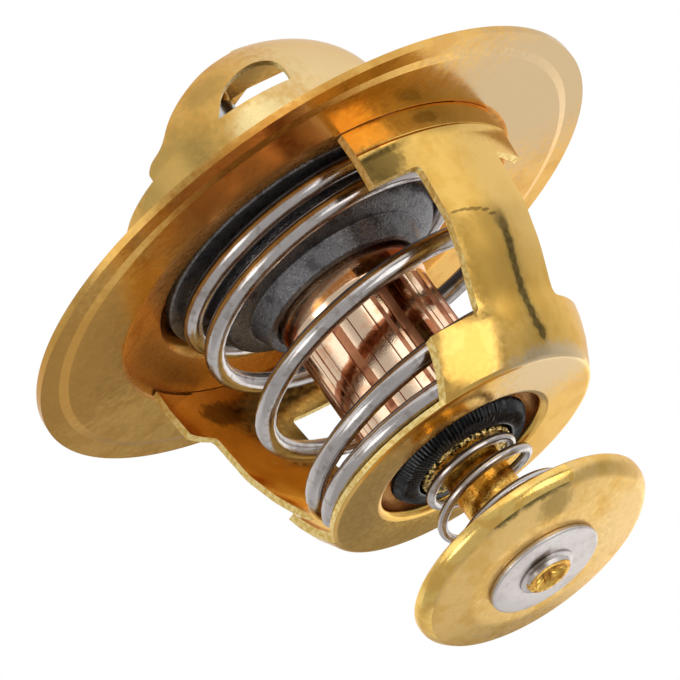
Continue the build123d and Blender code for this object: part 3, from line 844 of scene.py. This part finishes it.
@dataclass
class LegFrame:
    """The drawn brass frame: two legs between wide feet and the end plate."""

    sheet: float = 0.75
    foot: float = 22.4
    tab_end: float = -1.15
    tab_half: float = 3.9
    flange_face: float = 0.25
    leg_half: float = 5.4
    foot_half: float = 10.4
    foot_top: float = 6.25
    shoulder: float = 20.7
    height: float = 26.4
    plate: float = 15.0
    hole: float = 9.1
    lip_depth: float = 3.4
    fold: float = 3.05
    plate_round: float = 0.95
    window_round: float = 0.7
    lip_shade: float = 0.7
    crescent_steps: int = 48
    segments: int = 360
    far: float = 40.0
    dents: tuple[Point2, ...] = ((0.0, 0.32), (0.02, 0.2), (0.2, 0.1), (0.02, 0.0))
    outline: tuple[Point2, ...] = (
        (22.35, 3.1), (22.0, 6.1), (21.5, 10.0), (21.2, 12.0), (20.5, 14.0), (19.75, 16.0), (18.75, 18.0),
        (17.75, 20.0), (17.2, 22.0), (16.4, 24.0),
    )

    def profile(self) -> list[Point2]:
        """Draw the outer side of the sheet.

        Returns:
            Its points, from the tabs to the lip of the plate's hole.
        """
        leg = [(self.foot, self.flange_face), *smooth(self.outline, 3)]
        corners = [leg[-1], (self.plate, self.height), (self.hole, self.height)]
        corners += [(self.hole, self.height - self.sheet - self.lip_depth)]
        plate = rounded(corners, [0, self.plate_round, self.plate_round, 0], 6)
        return [(self.foot, self.tab_end), *leg, *plate[1:]]

    def build(self, brass: Material, cut: Material, lip: Material) -> None:
        """Make the piece.

        Args:
            brass: Material of the sheet.
            cut: Material of the cut edges.
            lip: Material of the hole's lip, a darker brass that paints its shade.
        """
        plain = self.profile()
        fold = next(index for index, point in enumerate(plain) if point[1] > self.fold)
        groove = [(self.foot - depth, self.fold - below) for depth, below in self.dents]
        piece = Piece("brass_frame")
        around = plain[:fold] + groove + plain[fold:] + offset(plain, self.sheet)[::-1]
        piece.spin(around, self.segments)
        inner = self.height - self.sheet
        through = Vector((2 * self.far, 0, 0))
        for side in (-1, 1):
            beside = self._upright(side * self.tab_half, side * self.far, -self.far, self.flange_face)
            piece.carve(beside, through, cut)
            piece.carve(self._upright(side * self.foot_half, side * self.far, -self.far, inner), through, cut)
            piece.carve(self._window(side), through, cut)
            piece.carve(self._crescent(side, inner - 0.01), Vector((0, 0, 3)), cut)
        frame = piece.close(brass, Body.HOUSING, "brass_sheet", ["frame"], sharp=30.0)
        paint(frame, lip, self._on_lip)

    def _on_lip(self, spot: Vector) -> bool:
        """Whether a place lies on the inner wall of the hole's lip."""
        return spot.xy.length < self.hole + 0.05 and spot.z < self.height - self.lip_shade

    def _upright(self, near: float, far: float, low: float, high: float) -> list[Vector]:
        """Outline of a cut in front of the frame, by its sides along Y and Z."""
        return [Vector((-self.far, y, z)) for y, z in ((near, low), (far, low), (far, high), (near, high))]

    def _window(self, side: int) -> list[Vector]:
        """Outline of the gap beside a leg, with rounded corners.

        Args:
            side: 1 for the +Y side of the leg, -1 for the other one.

        Returns:
            Its corners, in front of the frame.
        """
        corners = [(side * self.far, self.foot_top), (side * self.leg_half, self.foot_top)]
        corners += [(side * self.leg_half, self.shoulder), (side * self.far, self.shoulder)]
        points = rounded(corners, [0, self.window_round, self.window_round, 0], 6)
        return [Vector((-self.far, y, z)) for y, z in points]

    def _crescent(self, side: int, height: float) -> list[Vector]:
        """Outline of what is cut off the plate between its round and the feet.

        Args:
            side: 1 for the +Y side, -1 for the other one.
            height: Height of the outline.

        Returns:
            Its corners, from the round outward.
        """
        start = math.degrees(math.asin(self.foot_half / self.plate))
        steps = self.crescent_steps
        turns = [start + (180 - 2 * start) * step / steps for step in range(steps + 1)]
        corners = [(-self.far, self.foot_half), (-self.far, self.far), (self.far, self.far)]
        corners += [(self.far, self.foot_half)]
        crescent = [polar(self.plate, side * turn, height) for turn in turns]
        return crescent + [Vector((x, side * y, height)) for x, y in corners]


# ---- springs -----------------------------------------------------------------------------------


@dataclass
class Spring:
    """A compression spring with closed ends, wound from round wire.

    Args:
        name: Name of the piece.
        node: CAD node that it stands for.
        body: The body that it rides on.
        wire: Thickness of the wire.
        bottom: Where the lower end rests.
        top: Where the upper end rests.
        radii: Radius of the wire's middle at the lower and the upper end.
        turns: Number of turns.
        dead_turns: Closed turns at the lower and the upper end.
        start_angle: Where the wire starts, in degrees.
        slope: Rise of the coils across the axis, for a length of 1.
        lean_angle: Direction in which they rise, in degrees.
        ease: Share of the slope by the number of turns from the start.
        ramp: Turns that it takes to open from closed to full pitch.
        touch: Pitch of the closed turns for a wire of 1.
        steps_per_turn: Stretches of the line in a turn.
    """

    name: str
    node: str
    body: Body
    wire: float
    bottom: float
    top: float
    radii: Point2
    turns: float
    dead_turns: Point2
    start_angle: float
    slope: float = 0.0
    lean_angle: float = 0.0
    ease: Callable[[float], float] = lambda turn: 1.0
    ramp: float = 0.3
    touch: float = 1.03
    steps_per_turn: int = 48

    def centre_line(self) -> list[Vector]:
        """Wind the line.

        Returns:
            Points along the middle of the wire.
        """
        steps = round(self.turns * self.steps_per_turn)
        first, last = self.bottom + self.wire / 2, self.top - self.wire / 2

        def share_open(turn: float) -> float:
            """Find how far the coils are open.

            Args:
                turn: Number of turns from the start.

            Returns:
                0 where they are closed, 1 where they have their full pitch.
            """
            rise = (turn - self.dead_turns[0]) / self.ramp
            fall = (self.turns - self.dead_turns[1] - turn) / self.ramp
            return max(0.0, min(1.0, rise, fall))

        shares = [share_open((step + 0.5) * self.turns / steps) for step in range(steps)]
        shut = self.touch * self.wire * self.turns / steps
        spare = (last - first - shut * steps) / sum(shares)
        height = first
        toward = polar(1, self.lean_angle)
        points = []
        for step in range(steps + 1):
            share = step / steps
            point = polar(self.radii[0] + (self.radii[1] - self.radii[0]) * share,
                          self.start_angle + 360 * self.turns * share, height)
            point.z += self.slope * point.dot(toward) * self.ease(share * self.turns)
            points.append(point)
            if step < steps:
                height += shut + spare * shares[step]
        return points

    def build(self, material: Material, joint: str, anchor: float, keep: float) -> None:
        """Make the wire as a round tube along its centre line.

        Args:
            material: Its material.
            joint: The joint that presses the spring together; not used.
            anchor: Height of its resting end; not used.
            keep: Share of its length that is left when it is pressed fully; not used.
        """
        curve = bpy.data.curves.new(self.name, "CURVE")
        curve.dimensions = "3D"
        curve.bevel_depth = self.wire / 2
        curve.bevel_resolution = 6
        curve.use_fill_caps = True
        line = curve.splines.new("POLY")
        points = self.centre_line()
        line.points.add(len(points) - 1)
        for slot, point in zip(line.points, points):
            slot.co = (*point, 1.0)
        drawn = bpy.data.objects.new(self.name, curve)
        bpy.context.scene.collection.objects.link(drawn)
        data = bpy.data.meshes.new_from_object(drawn.evaluated_get(bpy.context.evaluated_depsgraph_get()))
        bpy.data.objects.remove(drawn)
        bpy.data.curves.remove(curve)
        piece = Piece(self.name)
        piece.mesh.from_mesh(data)
        bpy.data.meshes.remove(data)
        bmesh.ops.remove_doubles(piece.mesh, verts=piece.mesh.verts, dist=MERGE)
        bmesh.ops.recalc_face_normals(piece.mesh, faces=piece.mesh.faces)
        coil = piece.close(material, self.body, "spring_steel", [self.node], sharp=40.0)
        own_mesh(coil)


# ---- wax element -------------------------------------------------------------------------------


@dataclass
class MainValve:
    """The cast valve head with its stepped hub, and the rubber that seals it."""

    radius: float = 16.2
    face: float = -1.6
    edge: float = 0.9
    bore: float = 7.65
    nose_bore: float = 4.65
    seat: float = 1.0
    collar: Point2 = (9.05, 5.5)
    ring: Point2 = (10.1, 3.35)
    shoulder: Point2 = (12.6, 1.6)
    nose: float = -4.6
    seal_bore: float = 12.4
    seal_slope: Point2 = (1.0, 1.3)

    def build(self, metal: Material, rubber: Material) -> None:
        """Make both pieces.

        Args:
            metal: Material of the head.
            rubber: Material of the seal.
        """
        lower = self.face - self.edge
        turned(
            "valve_hub",
            [
                (self.bore, self.seat, 0.0), (self.bore, self.collar[1] - 0.5, 0.2),
                (self.bore + 0.5, self.collar[1], 0.1), (*self.collar, 0.25),
                (self.ring[0] - 0.25, self.ring[1], 0.3), (*self.ring, 0.12),
                (self.shoulder[0] - 0.5, self.ring[1] - 0.5, 0.9), (*self.shoulder, 0.9),
                (self.shoulder[0], self.face, 0.3), (self.radius, self.face, 0.3), (self.radius, lower, 0.1),
                (self.seal_bore, lower, 0.3), (self.seal_bore - 1.4, self.nose, 0.6),
                (self.nose_bore, self.nose, 0.2), (self.nose_bore, self.seat, 0.1),
            ],
        ).close(metal, Body.ELEMENT, "valve_metal", ["main_valve"])
        turned(
            "valve_rubber",
            [
                (self.seal_bore, lower, 0.05), (self.radius, lower, 0.2),
                (self.radius - self.seal_slope[0], lower - self.seal_slope[1], 0.5),
                (13.6, -4.2, 0.4), (12.1, -4.1, 0.1),
            ],
        ).close(rubber, Body.ELEMENT, "seal_rubber", ["valve_seal"])


@dataclass
class Capsule:
    """The copper capsule, pressed into narrow flats round its side."""

    radius: float = 7.6
    wall: float = 0.6
    bulge: float = 0.3
    mouth: float = 1.0
    top: float = 25.2
    flats: int = 24
    start: float = 9.0
    end: float = 24.7
    groove: float = 0.10
    steps: int = 10
    edge_turn: float = 0.45
    hollow: float = 0.22
    unevenness: float = 0.13

    def build(self, copper: Material, seam: Material) -> None:
        """Make the piece.

        Args:
            copper: Material of the capsule.
            seam: Material of the grooves between the flats, a darker copper that paints their shade.
        """
        inner, bulged = self.radius - self.wall, self.radius + self.bulge
        piece = turned(
            "copper_capsule",
            [
                (0, self.top, 0), (self.radius, self.top, 0.45), (self.radius, self.end, 0),
                (self.radius, self.start, 0), (self.radius, 8.6, 0.3), (bulged, 7.8, 0.7), (bulged, 6.0, 0.7),
                (self.radius, 5.2, 0.4), (self.radius, self.mouth, 0.1), (inner, self.mouth, 0.1),
                (inner, self.top - self.wall, 0.3), (0, self.top - self.wall, 0),
            ],
            self.flats * self.steps,
        )
        piece.shift(self._press)
        capsule = piece.close(copper, Body.ELEMENT, "copper", ["capsule"], sharp=25.0)
        paint(capsule, seam, self._in_groove)

    def _in_groove(self, spot: Vector) -> bool:
        """Whether a place lies in a groove between two flats."""
        outer = self.radius - self.groove * 0.25
        return self.start < spot.z < self.end and 7.2 < spot.xy.length < outer

    def _press(self, point: Vector) -> Vector:
        """Press a point of the side toward its flat, with a fine groove between neighbours.

        Args:
            point: The point on the round side.

        Returns:
            Where it lies on the flat or in the groove.
        """
        radius = point.xy.length
        if radius < self.radius - 0.2 or not self.start - 0.05 <= point.z <= self.end + 0.05:
            return point
        width = 360 / self.flats
        angle = math.degrees(math.atan2(point.y, point.x)) % 360
        flat, place = divmod(round(angle / (width / self.steps)), self.steps)
        if place == 0:
            return polar(self.radius - self.groove, angle, point.z)
        angle = (flat + (place - 1) / (self.steps - 2)) * width
        angle += self.edge_turn * ((place == 1) - (place == self.steps - 1))
        off = math.radians(angle - (flat + 0.5) * width)
        level = math.cos(math.radians(width / 2)) / math.cos(off)
        tilt = noise.noise(Vector((flat * 7.3, 0.5, 0.5))) * self.unevenness
        return polar(self.radius * (1 - self.hollow * (1 - level) + off * tilt) - 0.01, angle, point.z)


@dataclass
class EndRing:
    """The black ring at the capsule's end, with fine ribs, and the crumbly gold seat inside it."""

    radius: float = 7.75
    bore: float = 5.4
    low: float = 25.2
    high: float = 26.9
    ribs: int = 104
    rib_depth: float = 0.10
    seat_radii: Point2 = (3.2, 5.1)
    seat_top: float = 27.2
    crumb: Point2 = (0.035, 0.22)

    def build(self, black: Material, gold: Material) -> None:
        """Make both pieces.

        Args:
            black: Material of the ring.
            gold: Material of the seat.
        """
        ring = turned(
            "black_end_ring",
            [
                (self.bore, self.high, 0.15), (self.bore, self.low, 0.1), (self.radius, self.low, 0.1),
                (self.radius, self.low + 0.5, 0.4), (self.radius - 0.65, self.high - 0.3, 0.6),
            ],
            self.ribs * 4,
        )
        ring.shift(self._rib)
        ring.close(black, Body.ELEMENT, "black_ring", ["end_ring"], sharp=60.0)
        seat = Piece("gold_seat")
        near, far = self.seat_radii
        corners = [(near, self.low), (far, self.low), (far, self.seat_top), (near, self.seat_top)]
        profile = rounded([*corners, corners[0]], [0, 0.05, 0.35, 0.2, 0], 6)
        dense = [
            tuple(Vector(first).lerp(Vector(last), step / 4))
            for first, last in zip(profile, profile[1:]) for step in range(4)
        ]
        seat.spin(dense, 300)
        seat.shift(self._crumble)
        seat.close(gold, Body.ELEMENT, "rough_brass", ["spring_seat"], sharp=180.0)

    def _rib(self, point: Vector) -> Vector:
        """Draw the ring's outer and upper faces into ribs.

        Args:
            point: The point on the smooth ring.

        Returns:
            Where it lies on a rib.
        """
        if point.z < self.low + 0.3 or point.xy.length < self.bore + 0.2:
            return point
        angle = math.atan2(point.y, point.x)
        waver = 1.5 * noise.noise(Vector((point.x, point.y, 0)) * 0.8)
        sunk = self.rib_depth * (0.5 - 0.5 * math.cos(angle * self.ribs + waver))
        if point.z < self.high - 0.05:
            return point * (1 - sunk / point.xy.length)
        return Vector((point.x, point.y, point.z - sunk))

    def _crumble(self, point: Vector) -> Vector:
        """Roughen the seat's outer and upper faces inward.

        Args:
            point: The point on the smooth seat.

        Returns:
            Where it lies on the rough one.
        """
        if point.z < self.low + 0.2 or point.xy.length < self.seat_radii[0] + 0.2:
            return point
        rough = max(0.0, min(1.0, 0.5 + 0.5 * noise.fractal(point * 3.2, 0.8, 2.1, 3)))
        inward = 1 - self.crumb[0] * rough
        return Vector((point.x * inward, point.y * inward, point.z - self.crumb[1] * rough))


# ---- bypass head -------------------------------------------------------------------------------


@dataclass
class BypassHead:
    """Disc, washer and rivet head, which lean together on the stem."""

    height: float = 40.1
    tilt: float = 6.0
    lean_angle: float = 37.0
    sheet: float = 0.8
    disc: float = 13.1
    disc_bore: float = 3.4
    skirt: float = 2.6
    rim_from: float = 0.25
    washer: Point2 = (2.2, 6.1)
    washer_sheet: float = 0.6
    stem: float = 3.15
    stem_foot: float = 25.2
    rivet: float = 3.0
    punched: float = 1.5
    lobes: int = 5
    star: Point2 = (1.25, 0.5)
    star_edge: float = 0.35
    star_depth: float = 0.28
    bend: float = 1.2

    def leaned(self, point: Vector) -> Vector:
        """Turn a point about the head's centre so that the head leans.

        Args:
            point: The point on the upright head.

        Returns:
            Where it lies on the leaning one.
        """
        pivot = Vector((0, 0, self.height))
        axis = polar(1, self.lean_angle + 90)
        return pivot + Matrix.Rotation(math.radians(self.tilt), 3, axis) @ (point - pivot)

    def build(self, satin: Material, rim: Material, gold: Material, plated: Material) -> None:
        """Make the three pieces.

        Args:
            satin: Material of the disc.
            rim: Material of the painted highlight on one side of the disc's edge.
            gold: Material of the stem.
            plated: Material of the washer, and of the rivet head's rim as a painted reflection.
        """
        top, low = self.height, self.height - self.skirt
        disc = turned(
            "brass_disc",
            [
                (self.disc_bore, top, 0.05), (8.4, top, 6.0), (self.disc - 0.9, top - 0.62, 1.6),
                (self.disc, top - 1.55, 1.2), (self.disc, low, 0.25), (self.disc - self.sheet, low, 0.15),
                (self.disc - self.sheet, top - 1.6, 0.5), (11.9, top - 1.42, 0.3),
                (8.4, top - self.sheet, 3.0), (self.disc_bore, top - self.sheet, 0.05),
            ],
            SHEET_SEGMENTS,
        )
        disc.shift(self.leaned)
        disc = disc.close(satin, Body.BYPASS, "brass_sheet", ["bypass_disc"], sharp=40.0)
        paint(disc, rim, self._on_rim)
        near, far = self.washer
        upper = top + self.washer_sheet
        washer = turned(
            "plated_stop", [(near, upper, 0.02), (far, upper, 0.3), (far, top, 0.12), (near, top, 0.02)]
        )
        washer.shift(self.leaned)
        washer.close(plated, Body.ELEMENT, "plated_steel", ["stop_washer"])
        stem = self._stem().close(gold, Body.ELEMENT, "guide_brass", ["bypass_stem"])
        # the rivet head's rim takes the washer's plated finish: a painted reflection
        paint(stem, plated, self._on_painted_rivet_reflection)

    def _on_rim(self, spot: Vector) -> bool:
        """Whether a place lies on the side of the disc's edge that takes the painted highlight."""
        return spot.xy.length > self.disc - self.sheet and math.atan2(spot.y, spot.x) > self.rim_from

    def _on_painted_rivet_reflection(self, spot: Vector) -> bool:
        """Whether a place lies on the rivet head's rim, which takes the plated finish as a painted
        reflection.
        """
        middle = Vector((0, 0, self.height + self.washer_sheet))
        return spot.z > self.height + 0.1 and (spot - middle).length > 2.5

    def _stem(self) -> Piece:
        """Turn the stem with its rivet head, stake the head and lean it.

        Returns:
            The piece, still open to changes.
        """
        low, top = self.height, self.height + self.washer_sheet
        head = [(self.rivet, top), (self.rivet, top + 0.2), (2.5, top + 0.3), (2.35, top + 0.74)]
        head += [(1.9, top + 0.8), (self.punched, top + 0.5)]
        stem = [(self.stem, self.stem_foot), (self.stem, low - 0.6), (self.stem, low)]
        stem += [(self.washer[0], low), (self.washer[0], top)]
        rounds = [0, 0.1, 0, 0.05, 0.02, 0.02, 0.05, 0.1, 0.08, 0.15, 0.15, 0]
        body = rounded([(0.0, self.stem_foot), *stem, *head], rounds, 4)
        body += [(self.punched - step * 0.15, top + 0.5 - 0.03 * step) for step in range(1, 10)]
        body += [(0.0, top + 0.2)]
        piece = Piece("riveted_stem")
        piece.spin(body, 160, closed=False)
        piece.shift(self._stake)
        return piece

    def _stake(self, point: Vector) -> Vector:
        """Punch the star into the rivet head, then lean whatever belongs to the head.

        Args:
            point: The point on the turned stem.

        Returns:
            Where it lies on the staked one.
        """
        radius = point.xy.length
        if point.z > self.height + 0.75 and radius < 2.3:
            angle = math.atan2(point.y, point.x)
            middle, sway = self.star
            edge = middle + sway * math.cos(self.lobes * angle + 0.6) + 0.25 * noise.noise(point * 1.3)
            depth = max(0.0, min(1.0, (edge - radius) / self.star_edge))
            point = point - Vector((0, 0, self.star_depth * depth - 0.05 * noise.noise(point * 3.0)))
        share = max(0.0, min(1.0, (point.z - (self.height - self.bend)) / self.bend))
        return point.lerp(self.leaned(point), share)


# ---- stage -------------------------------------------------------------------------------------


@dataclass(frozen=True)
class SoftBox:
    """A soft rectangular patch of light, or of shade, in the world.

    Args:
        azimuth: Degrees to the right of the camera, seen from the object; 180 is behind it.
        elevation: Degrees toward the camera's upper side.
        width: Half of its width in degrees.
        height: Half of its height in degrees.
        light: Light that it adds, below zero for a dark card.
        soft: Width of its soft border, as a share of its size.
    """

    azimuth: float
    elevation: float
    width: float
    height: float
    light: float
    soft: float = 0.6


@dataclass(frozen=True)
class Lamp:
    """A rectangular lamp that faces the object.

    Args:
        name: Name of the lamp.
        way: Parts along the camera's right, up and back sides.
        distance: Factor from those parts to metres.
        size: Width and height in metres.
        power: Power in watts.
    """

    name: str
    way: Point3
    distance: float
    size: Point2
    power: float


@dataclass
class Studio:
    """Floor, world, lamps and camera. Lengths are in metres here."""

    floor_height: float = -0.060
    azimuth: float = 49.3
    elevation: float = 21.2
    roll: float = 144.4
    distance: float = 0.3984
    aim: Point2 = (0.00231, -0.008685)
    focal_pixels: float = 4000.0
    picture_width: float = 680.0
    sensor: float = 36.0
    floor_half: float = 0.11
    floor_tone: float = 0.9
    floor_glow: float = 0.25
    room: float = 0.50
    dimmest: float = 0.02
    boxes: tuple[SoftBox, ...] = (
        SoftBox(180, 25, 58, 46, 0.52, 0.8),
        SoftBox(30, 84, 38, 38, 0.45, 0.6),
        SoftBox(-20, 44, 24, 10, 0.55, 0.6),
        SoftBox(38, 44, 18, 8, -0.42, 0.6),
        SoftBox(92, 20, 10, 20, -0.15, 0.8),
        SoftBox(140, -58, 40, 20, 0.25, 0.8),
        SoftBox(156, -30, 30, 9, -0.34, 0.8),
        SoftBox(-68, 0, 15, 11, 0.75, 0.6),
        SoftBox(-40, -20, 14, 12, 0.5, 0.7),
    )
    lamps: tuple[Lamp, ...] = (
        Lamp("key_box", (0.62, 0.26, 0.74), 0.7, (0.48, 0.45), 0.95),
        Lamp("side_box", (-0.6, -0.34, 0.72), 0.7, (0.25, 0.25), 0.4),
    )
    mirrored: Lamp = Lamp("back_box", (0.062, 0.0, -0.25), 1.0, (0.12, 0.22), 0.062)

    def build(self) -> None:
        """Set the stage under, round and before the object."""
        self._floor()
        self._world()
        self._lamps()
        self._camera()
        bpy.context.scene.view_settings.view_transform = "Standard"

    def _floor(self) -> None:
        """Lay a pale floor."""
        data = bpy.data.meshes.new("floor")
        mesh = bmesh.new()
        bmesh.ops.create_grid(mesh, x_segments=1, y_segments=1, size=self.floor_half)
        bmesh.ops.translate(mesh, verts=mesh.verts, vec=(0, 0, self.floor_height))
        mesh.to_mesh(data)
        mesh.free()
        floor = bpy.data.objects.new("floor", data)
        bpy.context.scene.collection.objects.link(floor)
        material = bpy.data.materials.new("pale_floor")
        material.use_nodes = True
        nodes, links = material.node_tree.nodes, material.node_tree.links
        shader = nodes["Principled BSDF"]
        shader.inputs["Base Color"].default_value = (self.floor_tone,) * 3 + (1,)
        shader.inputs["Roughness"].default_value = 0.9
        shader.inputs["Specular IOR Level"].default_value = 0.0
        shader.inputs["Emission Color"].default_value = WHITE
        shader.inputs["Emission Strength"].default_value = self.floor_glow
        glow = nodes.new("ShaderNodeEmission")
        glow.inputs["Strength"].default_value = 1.0
        seen = self._seen_as(material.node_tree, shader, glow)
        links.new(seen, nodes["Material Output"].inputs["Surface"])
        data.materials.append(material)

    def _world(self) -> None:
        """Light the object from a dim room with soft boxes, plain white behind it."""
        world = bpy.data.worlds.new("studio")
        bpy.context.scene.world = world
        world.use_nodes = True
        tree = world.node_tree
        nodes, links = tree.nodes, tree.links
        shade = nodes["Background"]
        shade.inputs["Color"].default_value = WHITE
        way = nodes.new("ShaderNodeTexCoord").outputs["Generated"]
        total = self.room
        for box in self.boxes:
            total = self._math(tree, "ADD", self._patch(tree, way, box), total)
        links.new(self._math(tree, "MAXIMUM", total, self.dimmest), shade.inputs["Strength"])
        white = nodes.new("ShaderNodeBackground")
        white.inputs["Color"].default_value = WHITE
        links.new(self._seen_as(tree, shade, white), nodes["World Output"].inputs["Surface"])

    @staticmethod
    def _seen_as(tree: Tree, usual: bpy.types.Node, seen: bpy.types.Node) -> Socket:
        """Show another shader to the camera than to everything else.

        Args:
            tree: Tree of the material or the world.
            usual: Shader that lights the object.
            seen: Shader that the camera sees.

        Returns:
            Both of them as one.
        """
        path = tree.nodes.new("ShaderNodeLightPath")
        mix = tree.nodes.new("ShaderNodeMixShader")
        tree.links.new(path.outputs["Is Camera Ray"], mix.inputs["Fac"])
        tree.links.new(usual.outputs[0], mix.inputs[1])
        tree.links.new(seen.outputs[0], mix.inputs[2])
        return mix.outputs[0]

    def _patch(self, tree: Tree, way: Socket, box: SoftBox) -> Socket:
        """Light of one soft box.

        Args:
            tree: Tree of the world.
            way: Direction of the ray.
            box: The soft box.

        Returns:
            The light that it adds in that direction.
        """
        right, up, back = self.axes()
        azimuth, elevation = math.radians(box.azimuth), math.radians(box.elevation)
        level = right * math.sin(azimuth) + back * math.cos(azimuth)
        toward = level * math.cos(elevation) + up * math.sin(elevation)
        across = right * math.cos(azimuth) - back * math.sin(azimuth)
        width, height = (math.sin(math.radians(half)) for half in (box.width, box.height))
        reach = []
        for side, half in ((across, width), (toward.cross(across), height)):
            along = self._math(tree, "ABSOLUTE", self._dot(tree, way, side))
            reach.append(self._math(tree, "DIVIDE", along, half))
        share = tree.nodes.new("ShaderNodeMapRange")
        share.interpolation_type = "SMOOTHSTEP"
        share.inputs["From Min"].default_value = 1.0 + box.soft / 2
        share.inputs["From Max"].default_value = 1.0 - box.soft / 2
        share.inputs["To Max"].default_value = box.light
        tree.links.new(self._math(tree, "MAXIMUM", *reach), share.inputs["Value"])
        facing = self._math(tree, "GREATER_THAN", self._dot(tree, way, toward), 0.0)
        return self._math(tree, "MULTIPLY", share.outputs["Result"], facing)

    @staticmethod
    def _dot(tree: Tree, way: Socket, side: Vector) -> Socket:
        """Measure a direction along a side.

        Args:
            tree: Tree of the world.
            way: The direction.
            side: The side.

        Returns:
            Its length along the side.
        """
        dot = tree.nodes.new("ShaderNodeVectorMath")
        dot.operation = "DOT_PRODUCT"
        dot.inputs[1].default_value = tuple(side)
        tree.links.new(way, dot.inputs[0])
        return dot.outputs["Value"]

    @staticmethod
    def _math(tree: Tree, operation: str, *values: Socket | float) -> Socket:
        """Add one calculation to a tree.

        Args:
            tree: Tree of the world.
            operation: Name of the calculation.
            values: What it takes.

        Returns:
            Its result.
        """
        node = tree.nodes.new("ShaderNodeMath")
        node.operation = operation
        for slot, value in zip(node.inputs, values):
            if isinstance(value, float):
                slot.default_value = value
            else:
                tree.links.new(value, slot)
        return node.outputs[0]

    def _lamps(self) -> None:
        """Hang two boxes beside the camera, and one that the faces square to the axis mirror."""
        right, up, back = self.axes()
        for lamp in self.lamps:
            self._lamp(lamp, right, up, back)
        mirror = Matrix.Diagonal((1, 1, -1))
        along = (right + up).normalized()
        self._lamp(self.mirrored, mirror @ along, mirror @ along, mirror @ back)

    def _lamp(self, lamp: Lamp, right: Vector, along: Vector, back: Vector) -> None:
        """Add one soft box that faces the object.

        Args:
            lamp: The lamp.
            right: Side of its first part.
            along: Side of its second part, which its width follows too.
            back: Side of its third part.
        """
        data = bpy.data.lights.new(lamp.name, "AREA")
        data.shape = "RECTANGLE"
        data.size, data.size_y = lamp.size
        data.energy = lamp.power
        box = bpy.data.objects.new(lamp.name, data)
        place = (right * lamp.way[0] + along * lamp.way[1] + back * lamp.way[2]) * lamp.distance
        away = place.normalized()
        side = (along - away * along.dot(away)).normalized()
        turn = Matrix((side, away.cross(side), away)).transposed().to_4x4()
        turn.translation = place
        box.matrix_world = turn
        bpy.context.scene.collection.objects.link(box)

    def axes(self) -> tuple[Vector, Vector, Vector]:
        """Find the camera's sides.

        Returns:
            Its right, up and back directions.
        """
        azimuth, elevation, roll = (math.radians(v) for v in (self.azimuth, self.elevation, self.roll))
        flat = math.cos(elevation)
        back = Vector((flat * math.cos(azimuth), flat * math.sin(azimuth), math.sin(elevation)))
        level = Vector((0, 0, 1)).cross(back).normalized()
        rise = back.cross(level)
        right = level * math.cos(roll) + rise * math.sin(roll)
        up = rise * math.cos(roll) - level * math.sin(roll)
        return right, up, back

    def _camera(self) -> None:
        """Place the camera."""
        right, up, back = self.axes()
        data = bpy.data.cameras.new("camera")
        data.sensor_width = self.sensor
        data.lens = self.focal_pixels / self.picture_width * data.sensor_width
        data.clip_start = 0.01
        camera = bpy.data.objects.new("camera", data)
        turn = Matrix((right, up, back)).transposed().to_4x4()
        turn.translation = right * self.aim[0] + up * self.aim[1] + back * self.distance
        camera.matrix_world = turn
        bpy.context.scene.collection.objects.link(camera)
        bpy.context.scene.camera = camera


def main_coil() -> Spring:
    """Choose the spring that shuts the main valve.

    Returns:
        The spring, not yet built.
    """
    turns = 4.365
    return Spring(
        "main_coil", "main_spring", Body.HOUSING, 2.1, -1.6, 25.65, (14.7, 14.1), turns, (0.96, 0.82), -3.2,
        slope=0.05, lean_angle=33.0, ease=lambda turn: min(1.0, turn / 0.35, (turns - turn) / 0.5),
    )


def bypass_coil(head: BypassHead) -> Spring:
    """Choose the spring under the bypass disc, whose last turns lean with it.

    Args:
        head: The disc and what is on it.

    Returns:
        The spring, not yet built.
    """
    return Spring(
        "bypass_coil", "bypass_spring", Body.ELEMENT, 1.0, 27.2, 39.29, (4.6, 7.6), 3.8, (0.65, 0.5), -60.0,
        slope=-math.tan(math.radians(head.tilt)), lean_angle=head.lean_angle,
        ease=lambda turn: min(1.0, max(0.0, turn - 1.0) / 1.5),
    )


def main() -> None:
    """Build the pieces, the stage, the lights and the camera."""
    logging.basicConfig(level=logging.INFO, format="%(message)s")
    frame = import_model()
    look = {finish: finish.build() for finish in FINISHES}
    log.info("%d nodes in the frame", len(frame["nodes"]))
    head = BypassHead()
    FlangeDome().build(look[FLANGE_BRASS], look[THROAT_BRASS], look[CUT_BRASS])
    LegFrame().build(look[BRASS], look[CUT_BRASS], look[LIP_BRASS])
    main_coil().build(look[SPRING_STEEL], "main_valve_lift", 25.65, 0.688)
    bypass_coil(head).build(look[SPRING_STEEL], "bypass_disc_yield", 27.2, 0.628)
    MainValve().build(look[VALVE_METAL], look[SEAL_RUBBER])
    Capsule().build(look[COPPER], look[SEAM_COPPER])
    EndRing().build(look[BLACK_RING], look[ROUGH_BRASS])
    head.build(look[DISC_BRASS], look[RIM_PAINTED_HIGHLIGHT], look[TURNED_BRASS], look[PLATED_STEEL])
    for node, finish in HIDDEN.items():
        data = frame["nodes"][node].data
        data.materials.clear()
        data.materials.append(look[finish])
    Studio().build()


if __name__ == "__main__":
    main()
